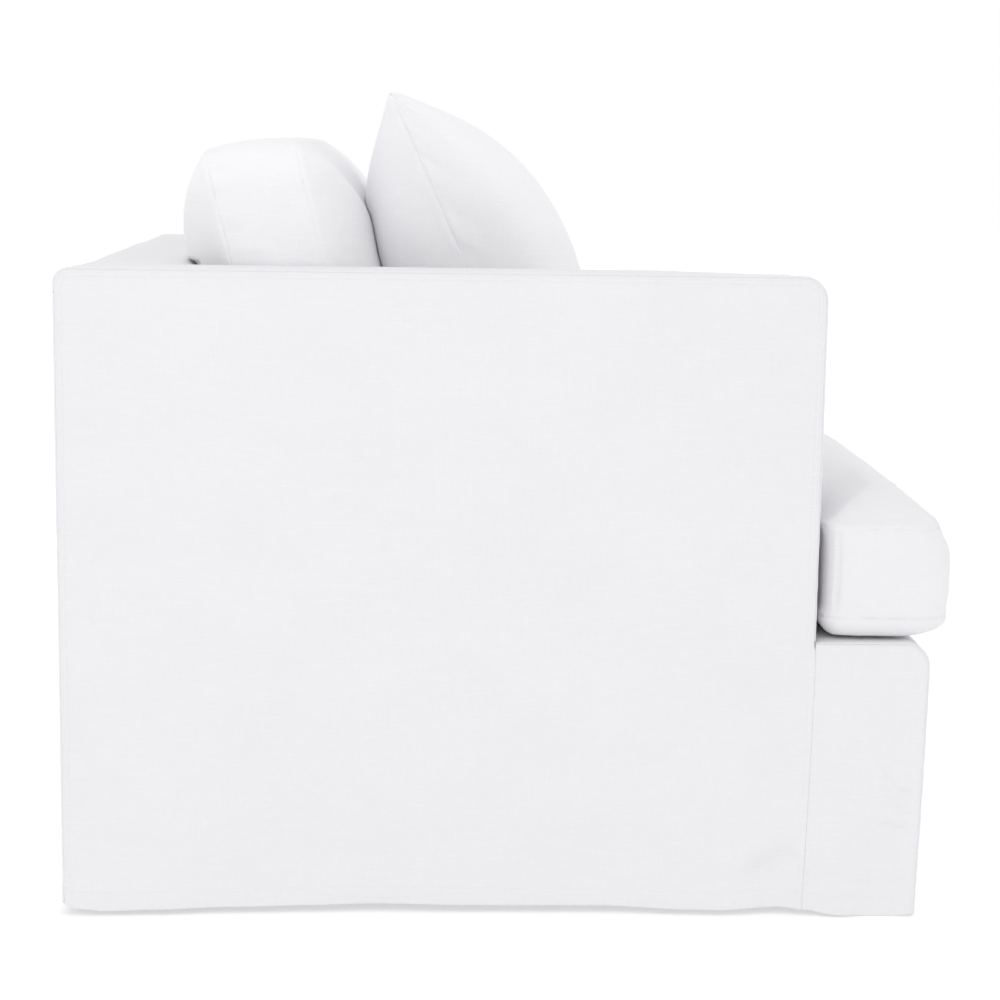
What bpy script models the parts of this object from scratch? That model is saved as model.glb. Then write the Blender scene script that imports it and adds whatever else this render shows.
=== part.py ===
"""Linen slipcover of a sofa's end section, as it hangs when fitted, with its covered cushions.

Metres, +Z up. The seat faces -Y, the width runs along X, and the origin is the bottom centre of the
whole thing. The cover's own measure of depth, called reach below, runs forward from the outside back.
The sofa isn't here: the cover is a hollow of cloth sheets that meet edge to edge at their seams.
Right and left are those of someone seated, so the one arm is at -X and the open end at +X.
"""

import math

import bmesh
import bpy
from mathutils import Matrix, Vector
from mathutils.bvhtree import BVHTree

# Body cover.
WIDTH = 0.950
ARM_REACH = 0.853
SKIRT_REACH = 0.985
ARM_HEIGHT = 0.733
DECK_HEIGHT = 0.324
ARM_WIDTH = 0.150
BACK_THICKNESS = 0.140
CORNER_R = 0.028
EDGE_R = 0.006
CLOTH = 0.002
SEAM_GAP = 0.0003

# Seat cushion: boxed, L-shaped, with an ear in front of the arm.
SEAT_BAND = (0.353, 0.454)
SEAT_BOTTOM = DECK_HEIGHT + 0.0005
SEAT_CROWN = 0.056
SEAT_CROWN_RUN = 0.13
SEAT_UNDERSIDE_RUN = 0.018
SEAT_FRONT = 1.010
SEAT_FRONT_BULGE = 0.008
SEAT_BAND_BULGE = 0.012
SEAT_TUCK = 0.008
SEAT_SWELL = 0.003
SEAT_SIDES = (-0.3215, 0.471)
EAR_SIDE = -0.471
EAR_BACK = ARM_REACH + 0.005
SEAT_CORNER_R = 0.030
# Grid lines beside a seam of the seat cushion, by their distance from it.
SEAT_STEPS = (0.0, 0.007, 0.016, SEAT_CORNER_R, 0.065, 0.105)

# Back cushion: boxed, leaning back.
BACK_CUSHION_SIZE = (0.786, 0.410)
BACK_CUSHION_MIDDLE = 0.076
BACK_CUSHION_BAND = 0.100
BACK_CUSHION_CROWN = (0.080, 0.058)
BACK_CUSHION_CROWN_RUN = 0.16
BACK_CUSHION_TOP_CROWN = 0.011
BACK_CUSHION_TOP_SLANT = 0.016
BACK_CUSHION_TOP_RUN = 0.16
BACK_CUSHION_SWELL = 0.006
BACK_CUSHION_CORNER_R = 0.035
BACK_CUSHION_STEPS = (0.0, 0.008, 0.020, BACK_CUSHION_CORNER_R, 0.065)
BACK_CUSHION_TOP = (0.213, 0.872)
BACK_CUSHION_LEAN = math.radians(12.0)

# Pillow: two squares sewn edge to edge, leaning on the back cushion.
PILLOW_SIZE = 0.500
PILLOW_CROWN = (0.128, 0.138)
PILLOW_FILL = (0.55, 0.80)
PILLOW_DRAWN_IN = 0.022
PILLOW_TOP = (0.372, 0.936)
PILLOW_LEAN = math.radians(22.3)

# The back cushion bulges out over the top of the back.
OVER_BACK = 0.045
OVER_BACK_CLEAR = 0.018
OVER_BACK_RISE = 0.035

REST_GAP = 0.0005

# How freely the cloth hangs grows from none at the deck to all at the foot. A foot edge's hang is felt this
# far round the corner, and the two sides hang alike but not the same: the left one is read further along.
FREE_POWER = 1.6
CORNER_FELT = 0.09
CORNER_EASE = 0.08
LEFT_READ_SCALE = 0.93
LEFT_READ_SHIFT = 0.06

BACK_Y = (SEAT_FRONT + SEAT_FRONT_BULGE) / 2
HALF = WIDTH / 2
ARM_INNER_X = ARM_WIDTH - HALF

# How the free cloth under the deck hangs along each foot edge: place along the edge, how far the hem is drawn
# in, and how far it clears the floor.
SIDE_HEM = (
    # reach, drawn in, lift
    (0.000, 0.000, 0.005),
    (0.048, 0.000, 0.004),
    (0.100, 0.002, 0.005),
    (0.200, 0.010, 0.007),
    (0.280, 0.014, 0.008),
    (0.356, 0.017, 0.009),
    (0.476, 0.014, 0.008),
    (0.615, 0.014, 0.008),
    (0.719, 0.007, 0.006),
    (0.753, 0.006, 0.006),
    (0.823, 0.013, 0.008),
    (0.858, 0.007, 0.006),
    (0.893, 0.000, 0.002),
    (0.928, -0.005, 0.000),
    (0.985, -0.004, 0.000),
)
BACK_HEM = (
    # x, drawn in, lift
    (-0.475, 0.000, 0.005),
    (-0.400, 0.003, 0.005),
    (-0.270, 0.011, 0.008),
    (-0.120, 0.006, 0.006),
    (0.040, 0.014, 0.009),
    (0.200, 0.005, 0.006),
    (0.320, 0.010, 0.007),
    (0.410, 0.002, 0.005),
    (0.475, 0.000, 0.005),
)
FRONT_HEM = (
    # x, drawn in, lift
    (-0.475, 0.005, 0.000),
    (-0.380, 0.004, 0.002),
    (-0.250, 0.011, 0.006),
    (-0.080, 0.005, 0.003),
    (0.090, 0.012, 0.006),
    (0.230, 0.006, 0.004),
    (0.370, 0.010, 0.004),
    (0.475, 0.005, 0.000),
)


def smooth(x):
    """0 up to 0, 1 from 1, and a soft step between."""
    x = min(max(x, 0.0), 1.0)
    return x * x * (3 - 2 * x)


def along(table, place, column):
    """A column of a table read at a place, eased from row to row."""
    for low, high in zip(table, table[1:]):
        if place <= high[0]:
            share = smooth((place - low[0]) / (high[0] - low[0]))
            return low[column] + share * (high[column] - low[column])
    return table[-1][column]


def spread(low, high, cells):
    """The inner grid lines between two places, without the places themselves."""
    return [low + (high - low) * i / cells for i in range(1, cells)]


# ---------------------------------------------------------------- how the cloth hangs


def hang(x, reach, z):
    """Where a point of the taut box ends up once the foot of the cover hangs free."""
    free = min(max(1 - z / DECK_HEIGHT, 0.0), 1.0) ** FREE_POWER
    near_side = smooth((abs(x) - HALF + CORNER_FELT) / CORNER_EASE)
    near_back = smooth((CORNER_FELT - reach) / CORNER_EASE)
    near_front = smooth((reach - SKIRT_REACH + CORNER_FELT) / CORNER_EASE)
    side_place = reach
    if x > 0:
        side_place = LEFT_READ_SCALE * reach + LEFT_READ_SHIFT * math.sin(math.pi * reach / SKIRT_REACH)
    side_in = along(SIDE_HEM, side_place, 1)
    back_in = along(BACK_HEM, x, 1)
    front_in = along(FRONT_HEM, x, 1)
    lift = max(
        near_side * along(SIDE_HEM, side_place, 2),
        near_back * along(BACK_HEM, x, 2),
        near_front * along(FRONT_HEM, x, 2),
    )
    return (
        x - math.copysign(near_side * side_in * free, x),
        reach + near_back * back_in * free - near_front * front_in * free,
        z + lift * free,
    )


def world(x, reach, z):
    return Vector((x, BACK_Y - reach, z))


# ---------------------------------------------------------------- sheets


def roll_depth(edge):
    """How deep a surface has rolled away at this distance from the box's edge."""
    if edge >= EDGE_R:
        return 0.0
    return EDGE_R - math.sqrt(EDGE_R**2 - (EDGE_R - edge) ** 2)


# A rolled edge turns by almost 45 degrees and meets its neighbour's edge there. The last step is a short one, so
# that the cloth's thickness is mitred.
ROLL_LINES = [EDGE_R * (1 - math.sin(math.radians(turn))) for turn in (42.7, 39.5, 20.0)]
ROLL_START = ROLL_LINES[0]
SHOULDER = ARM_HEIGHT - CORNER_R
CORNER_STEPS = (math.radians(15), math.radians(30))
CORNER_LINES = [CORNER_R * (1 - math.tan(step)) for step in reversed(CORNER_STEPS)]


def edge_lines(length, low_rolled, high_rolled, low_corner, high_corner, inner):
    """Grid lines across a panel: close together where an edge rolls or a corner is round."""

    def start(rolled, corner):
        if not rolled:
            return [SEAM_GAP / 2]
        lines = ROLL_LINES + [EDGE_R]
        return lines + (CORNER_LINES + [CORNER_R] if corner else [])

    low = start(low_rolled, low_corner)
    high = [length - line for line in reversed(start(high_rolled, high_corner))]
    return low + [line for line in inner if low[-1] + 0.01 < line < high[0] - 0.01] + high


def cloth_material(name, colour):
    material = bpy.data.materials.new(name)
    material.use_nodes = True
    shader = material.node_tree.nodes["Principled BSDF"]
    shader.inputs["Base Color"].default_value = (*colour, 1.0)
    shader.inputs["Roughness"].default_value = 0.92
    shader.inputs["Metallic"].default_value = 0.0
    return material


def grid_of(columns, rows):
    """A grid mesh whose points carry their column and row, as {(column, row): vertex}."""
    mesh = bmesh.new()
    wide, tall = len(columns) - 1, len(rows) - 1
    bmesh.ops.create_grid(mesh, x_segments=wide, y_segments=tall, size=0.5)
    points = {}
    for vertex in mesh.verts:
        column = round((vertex.co.x + 0.5) * wide)
        row = round((vertex.co.y + 0.5) * tall)
        points[column, row] = vertex
    return mesh, points


def object_of(name, mesh, colour, collection):
    data = bpy.data.meshes.new(name)
    mesh.to_mesh(data)
    mesh.free()
    data.materials.append(cloth_material(name + "_cloth", colour))
    data.shade_smooth()
    data.set_sharp_from_angle(angle=math.radians(40))
    thing = bpy.data.objects.new(name, data)
    collection.objects.link(thing)
    return thing


def sheet(name, columns, rows, surface, outward, collection):
    """A cloth sheet whose outer face is surface(column value, row value), in the taut box's terms."""
    mesh, points = grid_of(columns, rows)
    for (column, row), vertex in points.items():
        vertex.co = world(*hang(*surface(columns[column], rows[row])))
    mesh.normal_update()
    if sum((face.normal * face.calc_area() for face in mesh.faces), Vector()).dot(outward) < 0:
        bmesh.ops.reverse_faces(mesh, faces=mesh.faces[:])
    thing = object_of(name, mesh, PANEL_COLOUR, collection)
    thickness = thing.modifiers.new("cloth thickness", "SOLIDIFY")
    thickness.thickness = CLOTH
    thickness.offset = -1.0
    thickness.use_even_offset = True
    return thing


def round_off(low, high, low_edge, high_edge):
    """Moves a point of a square corner onto quarter circles: (low, high) are its distances from two edges."""
    a, b = CORNER_R - low, CORNER_R - high
    if a <= 0 or b <= 0 or not (low_edge and high_edge):
        return low, high, min(low if low_edge else 1.0, high if high_edge else 1.0)
    ring = max(a, b)
    size = math.hypot(a, b)
    return CORNER_R - ring * a / size, CORNER_R - ring * b / size, CORNER_R - ring


def upright_panel(name, place, length, foot, head, rolled, outward, collection, columns, rows):
    """A flat upright panel. place(along, inward, z) gives the taut box's point, rolled names its rolled edges."""
    low, high, top = "low" in rolled, "high" in rolled, "top" in rolled
    across = edge_lines(length, low, high, low and top, high and top, columns)
    upward = edge_lines(head - foot, False, top, False, top and (low or high), rows)

    def surface(u, v):
        from_top = head - foot - v
        if u < length / 2:
            side, down, edge = round_off(u, from_top, low, top)
            u = side
        else:
            side, down, edge = round_off(length - u, from_top, high, top)
            u = length - side
        return place(u, roll_depth(edge), head - down)

    return sheet(name, across, upward, surface, outward, collection)


def band_path(legs):
    """Stations (reach, z, outward reach, outward z) along a strip: straight legs joined by round corners."""
    return [station for leg in legs for station in leg]


def straight(start, end, cells, outward):
    (reach, z), (end_reach, end_z) = start, end
    return [
        (reach + (end_reach - reach) * i / cells, z + (end_z - z) * i / cells, *outward)
        for i in range(cells + 1)
    ]


def bend(centre, start_degrees, end_degrees):
    """The inner stations of a quarter turn, at the angles where the side panels have theirs."""
    ring = CORNER_R - ROLL_START
    turns = [math.atan2(CORNER_R * math.tan(step), ring) for step in CORNER_STEPS]
    turns += [math.radians(45)] + [math.radians(90) - turn for turn in reversed(turns)]
    sign = 1 if end_degrees > start_degrees else -1
    stations = []
    for turn in turns:
        angle = math.radians(start_degrees) + sign * turn
        out = (math.cos(angle), math.sin(angle))
        stations.append((centre[0] + CORNER_R * out[0], centre[1] + CORNER_R * out[1], *out))
    return stations


def strip(name, stations, low_x, high_x, rolled, outward, collection, cells):
    """A band of cloth along stations, from low_x to high_x, rolled over its long edges."""
    width = high_x - low_x
    across = edge_lines(width, rolled[0], rolled[1], False, False, spread(0, width, cells))

    def surface(u, index):
        reach, z, out_reach, out_z = stations[index]
        edge = min(u if rolled[0] else 1.0, width - u if rolled[1] else 1.0)
        depth = roll_depth(edge)
        return low_x + u, reach - out_reach * depth, z - out_z * depth

    return sheet(name, across, list(range(len(stations))), surface, outward, collection)


# ---------------------------------------------------------------- body cover

PANEL_COLOUR = (0.86, 0.86, 0.87)
CUSHION_COLOUR = (0.84, 0.83, 0.86)
FLUSH_BELOW = (DECK_HEIGHT - 0.036, DECK_HEIGHT - 0.006)
INNER_ARM_START = BACK_THICKNESS - CORNER_R - CLOTH / 2
FLUSH_BEHIND = INNER_ARM_START - CLOTH - EDGE_R
FOOT_ROWS = [0.028, 0.060, 0.100, 0.145, 0.195, 0.245]


def end_panel(side, front, name, collection, cells):
    """The tall panel that closes an arm or the back at one side, from the floor to the top."""

    def place(reach, inward, z):
        # Below the deck its front edge lies flat against the skirt's side.
        low, high = FLUSH_BELOW
        flush = 1 - smooth((z - low) / (high - low))
        near_front = reach > front - EDGE_R - 1e-6
        if near_front:
            reach += flush * ROLL_START * (1 - (front - reach - ROLL_START) / (EDGE_R - ROLL_START))
            inward *= 1 - flush
        return side * (HALF - inward), reach, z

    return upright_panel(
        name,
        place,
        front,
        0.0,
        ARM_HEIGHT,
        ("low", "high", "top"),
        Vector((side, 0, 0)),
        collection,
        spread(0, front, cells),
        FOOT_ROWS + [*FLUSH_BELOW, DECK_HEIGHT, 0.36, 0.50],
    )


def inside_arm(name, collection):
    length = ARM_REACH - INNER_ARM_START

    def place(u, inward, z):
        return ARM_INNER_X - inward, INNER_ARM_START + u, z

    return upright_panel(
        name,
        place,
        length,
        DECK_HEIGHT + SEAM_GAP / 2,
        ARM_HEIGHT,
        ("high", "top"),
        Vector((1, 0, 0)),
        collection,
        spread(0, length, 6),
        spread(0, ARM_HEIGHT - DECK_HEIGHT, 4),
    )


def arm_strip(name, collection):
    front = ARM_REACH - CORNER_R
    stations = band_path(
        [
            straight((ARM_REACH, DECK_HEIGHT + SEAM_GAP), (ARM_REACH, SHOULDER), 5, (1, 0)),
            bend((front, SHOULDER), 0, 90),
            straight((front, ARM_HEIGHT), (INNER_ARM_START, ARM_HEIGHT), 8, (0, 1)),
            [(INNER_ARM_START - CLOTH, ARM_HEIGHT, 0, 1)],
            straight((FLUSH_BEHIND, ARM_HEIGHT), (CORNER_R, ARM_HEIGHT), 2, (0, 1)),
            bend((CORNER_R, SHOULDER), 90, 180),
            [(0.0, SHOULDER + SEAM_GAP, -1, 0)],
        ]
    )
    across = edge_lines(ARM_WIDTH, True, True, False, False, spread(0, ARM_WIDTH, 3))

    def surface(u, index):
        reach, z, out_reach, out_z = stations[index]
        edge = min(u, ARM_WIDTH - u)
        depth = roll_depth(edge)
        if u > ARM_WIDTH / 2 and reach <= FLUSH_BEHIND and edge < EDGE_R:
            # Beside the top of the back this edge lies flat against its neighbour.
            u += ROLL_START * (1 - (edge - ROLL_START) / (EDGE_R - ROLL_START))
            depth = 0.0
        return u - HALF, reach - out_reach * depth, z - out_z * depth

    return sheet(name, across, list(range(len(stations))), surface, Vector((0, -1, 2)), collection)


def outside_back(name, collection):
    def place(u, inward, z):
        return u - HALF, inward, z

    return upright_panel(
        name,
        place,
        WIDTH,
        0.0,
        SHOULDER,
        ("low", "high"),
        Vector((0, 1, 0)),
        collection,
        spread(0, WIDTH, 14),
        FOOT_ROWS + [0.32, 0.50],
    )


def back_top(name, collection):
    front = BACK_THICKNESS - CORNER_R
    stations = band_path(
        [
            [(0.0, SHOULDER + SEAM_GAP, -1, 0)],
            bend((CORNER_R, SHOULDER), 180, 90),
            straight((CORNER_R, ARM_HEIGHT), (front, ARM_HEIGHT), 3, (0, 1)),
            bend((front, SHOULDER), 90, 0),
            [(BACK_THICKNESS, SHOULDER + SEAM_GAP, 1, 0)],
        ]
    )
    return strip(name, stations, ARM_INNER_X, HALF, (False, True), Vector((0, 0, 1)), collection, 9)


def inside_back(name, collection):
    stations = straight((BACK_THICKNESS, DECK_HEIGHT + SEAM_GAP), (BACK_THICKNESS, SHOULDER), 5, (1, 0))
    return strip(name, stations, ARM_INNER_X, HALF, (False, True), Vector((0, -1, 0)), collection, 9)


def deck(name, collection):
    stations = straight((BACK_THICKNESS + SEAM_GAP, DECK_HEIGHT), (ARM_REACH, DECK_HEIGHT), 6, (0, 1))
    return strip(name, stations, ARM_INNER_X - CLOTH, HALF, (False, True), Vector((0, 0, 1)), collection, 6)


def skirt_front(name, collection):
    shoulder = DECK_HEIGHT - CORNER_R
    front = SKIRT_REACH - CORNER_R
    hem = [(SKIRT_REACH, z, 1, 0) for z in [0.0] + [row for row in FOOT_ROWS if row < shoulder]]
    stations = band_path(
        [
            hem,
            [(SKIRT_REACH, shoulder, 1, 0)],
            bend((front, shoulder), 0, 90),
            straight((front, DECK_HEIGHT), (ARM_REACH + SEAM_GAP, DECK_HEIGHT), 3, (0, 1)),
        ]
    )
    return strip(name, stations, -HALF, HALF, (True, True), Vector((0, -1, 1)), collection, 14)


def skirt_side(side, rear, name, collection, cells):
    """The low panel at one side, from the end panel's front edge to the front of the skirt."""
    length = SKIRT_REACH - rear

    def place(u, inward, z):
        return side * (HALF - inward), rear + u, z

    return upright_panel(
        name,
        place,
        length,
        0.0,
        DECK_HEIGHT,
        ("high", "top"),
        Vector((side, 0, 0)),
        collection,
        spread(0, length, cells),
        FOOT_ROWS,
    )


# ---------------------------------------------------------------- filled cushions


def boxed(columns, rows, keeps, shape, band_cuts):
    """A closed mesh over the kept cells of a plan: shape(x, y, level) places it, level 0 below and 1 above."""
    mesh, points = grid_of(columns, rows)
    plan = {}
    for (column, row), vertex in points.items():
        plan[vertex] = (columns[column], rows[row])
        vertex.co = (columns[column], rows[row], 0.0)
    unwanted = [face for face in mesh.faces if not keeps(*face.calc_center_median()[:2])]
    bmesh.ops.delete(mesh, geom=unwanted, context="FACES")
    extruded = bmesh.ops.extrude_face_region(mesh, geom=mesh.faces[:])
    raised = [item for item in extruded["geom"] if isinstance(item, bmesh.types.BMVert)]
    bmesh.ops.translate(mesh, verts=raised, vec=(0, 0, 1))
    if band_cuts:
        walls = [edge for edge in mesh.edges if abs(edge.verts[0].co.z - edge.verts[1].co.z) > 0.5]
        bmesh.ops.subdivide_edges(mesh, edges=walls, cuts=band_cuts, use_grid_fill=True)
    for vertex in mesh.verts:
        vertex.co = shape(*vertex.co)
    bmesh.ops.recalc_face_normals(mesh, faces=mesh.faces[:])
    if mesh.calc_volume(signed=True) < 0:
        bmesh.ops.reverse_faces(mesh, faces=mesh.faces[:])
    return mesh


def dome(edge, run, power=0.55):
    """0 at a seam, steep there, and 1 from run inwards."""
    inward = min(max(edge / run, 0.0), 1.0)
    return (1 - (1 - inward) ** 2) ** power


def corner_round(x, y, centre_x, centre_y, radius):
    """Moves a point of a square corner, at or beyond the centre both ways, onto quarter circles."""
    a, b = x - centre_x, y - centre_y
    ring = max(abs(a), abs(b))
    size = math.hypot(a, b)
    if size < 1e-9 or ring > radius + 1e-6:
        return x, y
    return centre_x + a * ring / size, centre_y + b * ring / size


SEAT_BACK = BACK_THICKNESS + REST_GAP
SEAT_PLAN_FRONT = SEAT_FRONT - 0.012


def seat_edge(x, reach):
    """How far inside the L-shaped outline a point of the seat cushion lies."""
    beside_arm, open_side = SEAT_SIDES
    body = x - beside_arm
    ear = min(x - EAR_SIDE, reach - EAR_BACK)
    return max(min(SEAT_PLAN_FRONT - reach, reach - SEAT_BACK, open_side - x, max(body, ear)), 0.0)


SEAT_CORNERS = (
    # x and reach of the corner, and the way out of it
    (EAR_SIDE, SEAT_PLAN_FRONT, -1, 1),
    (EAR_SIDE, EAR_BACK, -1, -1),
    (SEAT_SIDES[1], SEAT_PLAN_FRONT, 1, 1),
    (SEAT_SIDES[1], SEAT_BACK, 1, -1),
)


def seat_shape(x, reach, level):
    """A point of the seat cushion, from its place on the plan and its level from 0 to 1."""
    edge = seat_edge(x, reach)
    for corner_x, corner_reach, out_x, out_reach in SEAT_CORNERS:
        centre_x = corner_x - out_x * SEAT_CORNER_R
        centre_reach = corner_reach - out_reach * SEAT_CORNER_R
        if out_x * (x - centre_x) > 0 and out_reach * (reach - centre_reach) > 0:
            x, reach = corner_round(x, reach, centre_x, centre_reach, SEAT_CORNER_R)
    low_seam, high_seam = SEAT_BAND
    # The front bows forward a little at mid-width.
    behind_front = SEAT_PLAN_FRONT - reach
    bow = SEAT_FRONT_BULGE * max(1 - (x / EAR_SIDE) ** 2, 0.0) * (1 - smooth((behind_front - 0.02) / 0.28))
    # The band is fullest below its middle.
    fullness = math.sin(math.pi * (0.25 + 0.75 * level))
    bow += SEAT_BAND_BULGE * fullness * (1 - smooth((behind_front - 0.02) / 0.03))
    if level == 1:
        z = high_seam + SEAT_CROWN * dome(edge, SEAT_CROWN_RUN)
        bow -= SEAT_TUCK * (1 - smooth(edge / 0.05)) * (1 - smooth((behind_front - 0.02) / 0.05))
    elif level == 0:
        z = low_seam - (low_seam - SEAT_BOTTOM) * dome(edge, SEAT_UNDERSIDE_RUN, 0.7)
    else:
        z = low_seam + (high_seam - low_seam) * level
        free_side = smooth((abs(x) - 0.40) / 0.06)
        x += math.copysign(SEAT_SWELL, x) * math.sin(math.pi * level) * free_side
    return world(x, reach + bow, z)


def seat_cushion(name, collection):
    beside_arm, open_side = SEAT_SIDES
    first, last = SEAT_STEPS[-1], SEAT_STEPS[-1]
    columns = [EAR_SIDE + step for step in SEAT_STEPS[:-1]]
    columns += [beside_arm + step for step in SEAT_STEPS]
    columns += spread(beside_arm + first, open_side - last, 7)
    columns += [open_side - step for step in reversed(SEAT_STEPS)]
    rows = [SEAT_BACK + step for step in SEAT_STEPS]
    rows += spread(SEAT_BACK + first, EAR_BACK, 6)
    rows += [EAR_BACK + step for step in SEAT_STEPS[:4]]
    rows += [SEAT_PLAN_FRONT - step for step in (*reversed(SEAT_STEPS[3:5]), 0.045)]
    rows = sorted(rows + [SEAT_PLAN_FRONT - step for step in SEAT_STEPS[:3]])

    def keeps(x, reach):
        return x > beside_arm or reach > EAR_BACK

    mesh = boxed(columns, rows, keeps, seat_shape, 3)
    return object_of(name, mesh, CUSHION_COLOUR, collection)


def leaning(top, lean, middle):
    """The matrix that stands a cushion's own frame (across, up from its top, forward) at its lean."""
    reach, z = top
    across = Vector((1, 0, 0))
    up = Vector((0, math.sin(lean), math.cos(lean)))
    forward = up.cross(across)
    if forward.y > 0:
        forward = -forward
    frame = Matrix((across, up, forward)).transposed().to_4x4()
    frame.translation = world(middle, reach, z)
    return frame


def back_cushion(name, collection):
    width, height = BACK_CUSHION_SIZE
    half = width / 2
    frame = leaning(BACK_CUSHION_TOP, BACK_CUSHION_LEAN, BACK_CUSHION_MIDDLE)
    corner = BACK_CUSHION_CORNER_R

    def shape(x, up, level):
        edge = max(min(half - abs(x), up + height, -up), 0.0)
        centre_x = math.copysign(half - corner, x)
        for centre_up, beyond in ((-corner, 1), (-height + corner, -1)):
            if abs(x) > abs(centre_x) and beyond * (up - centre_up) > 0:
                x, up = corner_round(x, up, centre_x, centre_up, corner)
        rear, front = BACK_CUSHION_CROWN
        # The top edge stands highest at mid-width, and slants down towards the front.
        near_top = smooth((up + BACK_CUSHION_TOP_RUN) / BACK_CUSHION_TOP_RUN)
        up += near_top * BACK_CUSHION_TOP_CROWN * max(1 - (x / half) ** 2, 0.0)
        up -= near_top * BACK_CUSHION_TOP_SLANT * level
        swell = BACK_CUSHION_SWELL * math.sin(math.pi * level)
        forward = (level - 0.5) * BACK_CUSHION_BAND
        if level == 1:
            forward += front * dome(edge, BACK_CUSHION_CROWN_RUN)
        elif level == 0:
            forward -= rear * dome(edge, BACK_CUSHION_CROWN_RUN)
        else:
            x += math.copysign(swell, x) * smooth((abs(x) - half + 0.05) / 0.04)
            up += swell * smooth((up + 0.05) / 0.04)
        return frame @ Vector((x, up, forward))

    last = BACK_CUSHION_STEPS[-1]
    columns = [-half + step for step in BACK_CUSHION_STEPS] + spread(last - half, half - last, 9)
    columns += [half - step for step in reversed(BACK_CUSHION_STEPS)]
    rows = [step - height for step in BACK_CUSHION_STEPS] + spread(last - height, -last, 7)
    rows += [-step for step in reversed(BACK_CUSHION_STEPS)]
    mesh = boxed(columns, rows, lambda x, up: True, shape, 3)
    return object_of(name, mesh, CUSHION_COLOUR, collection)


def pillow(name, collection):
    half = PILLOW_SIZE / 2
    frame = leaning(PILLOW_TOP, PILLOW_LEAN, 0.0)

    def shape(x, up, level):
        u, v = x / half, (up + half) / half
        # The sides draw in between the corners.
        pull = PILLOW_DRAWN_IN / half
        across = u * (1 - pull * (1 - v * v) * abs(u))
        tall = v * (1 - pull * (1 - u * u) * abs(v))
        across_fill, upright_fill = PILLOW_FILL
        fill = max(1 - u * u, 0.0) ** across_fill * max(1 - v * v, 0.0) ** upright_fill
        rear, front = PILLOW_CROWN
        forward = front * fill if level == 1 else -rear * fill
        return frame @ Vector((across * half, tall * half - half, forward))

    lines = [-1.0, -0.96, -0.88, -0.76, -0.60, -0.40, -0.20, 0.0, 0.20, 0.40, 0.60, 0.76, 0.88, 0.96, 1.0]
    columns = [half * line for line in lines]
    rows = [half * line - half for line in lines]
    mesh = boxed(columns, rows, lambda x, up: True, shape, 0)
    bmesh.ops.remove_doubles(mesh, verts=mesh.verts[:], dist=0.00001)
    bmesh.ops.dissolve_degenerate(mesh, edges=mesh.edges[:], dist=0.000001)
    return object_of(name, mesh, CUSHION_COLOUR, collection)


# ---------------------------------------------------------------- resting on each other


def tree_of(thing):
    bpy.context.view_layer.update()
    return BVHTree.FromObject(thing, bpy.context.evaluated_depsgraph_get())


def squash(thing, onto, direction, gap):
    """Presses a cushion flat where it would pass into what it rests on, which lies along direction."""
    tree = tree_of(onto)
    toward = Vector(direction)
    for vertex in thing.data.vertices:
        start = vertex.co - 2 * toward
        hit = tree.ray_cast(start, toward)[0]
        if hit is None:
            continue
        past = (vertex.co - hit).dot(toward) + gap
        if past > 0:
            vertex.co -= past * toward
    thing.data.update()


def squash_clear(thing, onto, direction):
    """Squashes with the smallest gap that leaves the two faceted surfaces apart."""
    gap = REST_GAP
    while True:
        squash(thing, onto, direction, gap)
        if not tree_of(thing).overlap(tree_of(onto)):
            squash(thing, onto, direction, gap + REST_GAP / 2)
            return
        gap += REST_GAP


def keep_off_back(thing):
    """Flattens the back cushion's rear against the back, and lets it bulge out over the back's top."""
    for vertex in thing.data.vertices:
        bulge = OVER_BACK * smooth((vertex.co.z - ARM_HEIGHT - OVER_BACK_CLEAR) / OVER_BACK_RISE)
        nearest = BACK_THICKNESS + REST_GAP - bulge
        vertex.co.y = min(vertex.co.y, BACK_Y - nearest)
    thing.data.update()


def stand_at_origin(things):
    """Moves everything so that the whole thing's box has its bottom centre at the origin."""
    bpy.context.view_layer.update()
    graph = bpy.context.evaluated_depsgraph_get()
    points = []
    for thing in things:
        evaluated = thing.evaluated_get(graph)
        points += [evaluated.matrix_world @ vertex.co for vertex in evaluated.data.vertices]
    low = Vector(min(point[axis] for point in points) for axis in range(3))
    high = Vector(max(point[axis] for point in points) for axis in range(3))
    shift = Vector((-(low.x + high.x) / 2, -(low.y + high.y) / 2, -low.z))
    for thing in things:
        thing.location += shift


def main():
    for thing in list(bpy.data.objects):
        bpy.data.objects.remove(thing, do_unlink=True)
    collection = bpy.data.collections.new("sofa_slipcover")
    bpy.context.scene.collection.children.link(collection)
    things = []
    things.append(end_panel(-1, ARM_REACH, "outside_arm", collection, 13))
    things.append(inside_arm("inside_arm", collection))
    things.append(arm_strip("arm_strip", collection))
    things.append(end_panel(1, BACK_THICKNESS, "back_end", collection, 4))
    things.append(outside_back("outside_back", collection))
    things.append(back_top("back_top", collection))
    things.append(inside_back("inside_back", collection))
    things.append(deck("deck", collection))
    things.append(skirt_side(-1, ARM_REACH, "skirt_side_right", collection, 4))
    things.append(skirt_side(1, BACK_THICKNESS, "skirt_side_left", collection, 13))
    things.append(skirt_front("skirt_front", collection))
    seat = seat_cushion("seat_cushion", collection)
    back = back_cushion("back_cushion", collection)
    keep_off_back(back)
    squash_clear(back, seat, (0, 0, -1))
    throw = pillow("pillow", collection)
    squash_clear(throw, seat, (0, 0, -1))
    squash_clear(throw, back, (0, 1, 0))
    squash_clear(throw, seat, (0, 0, -1))
    things += [seat, back, throw]
    stand_at_origin(things)


main()
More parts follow.
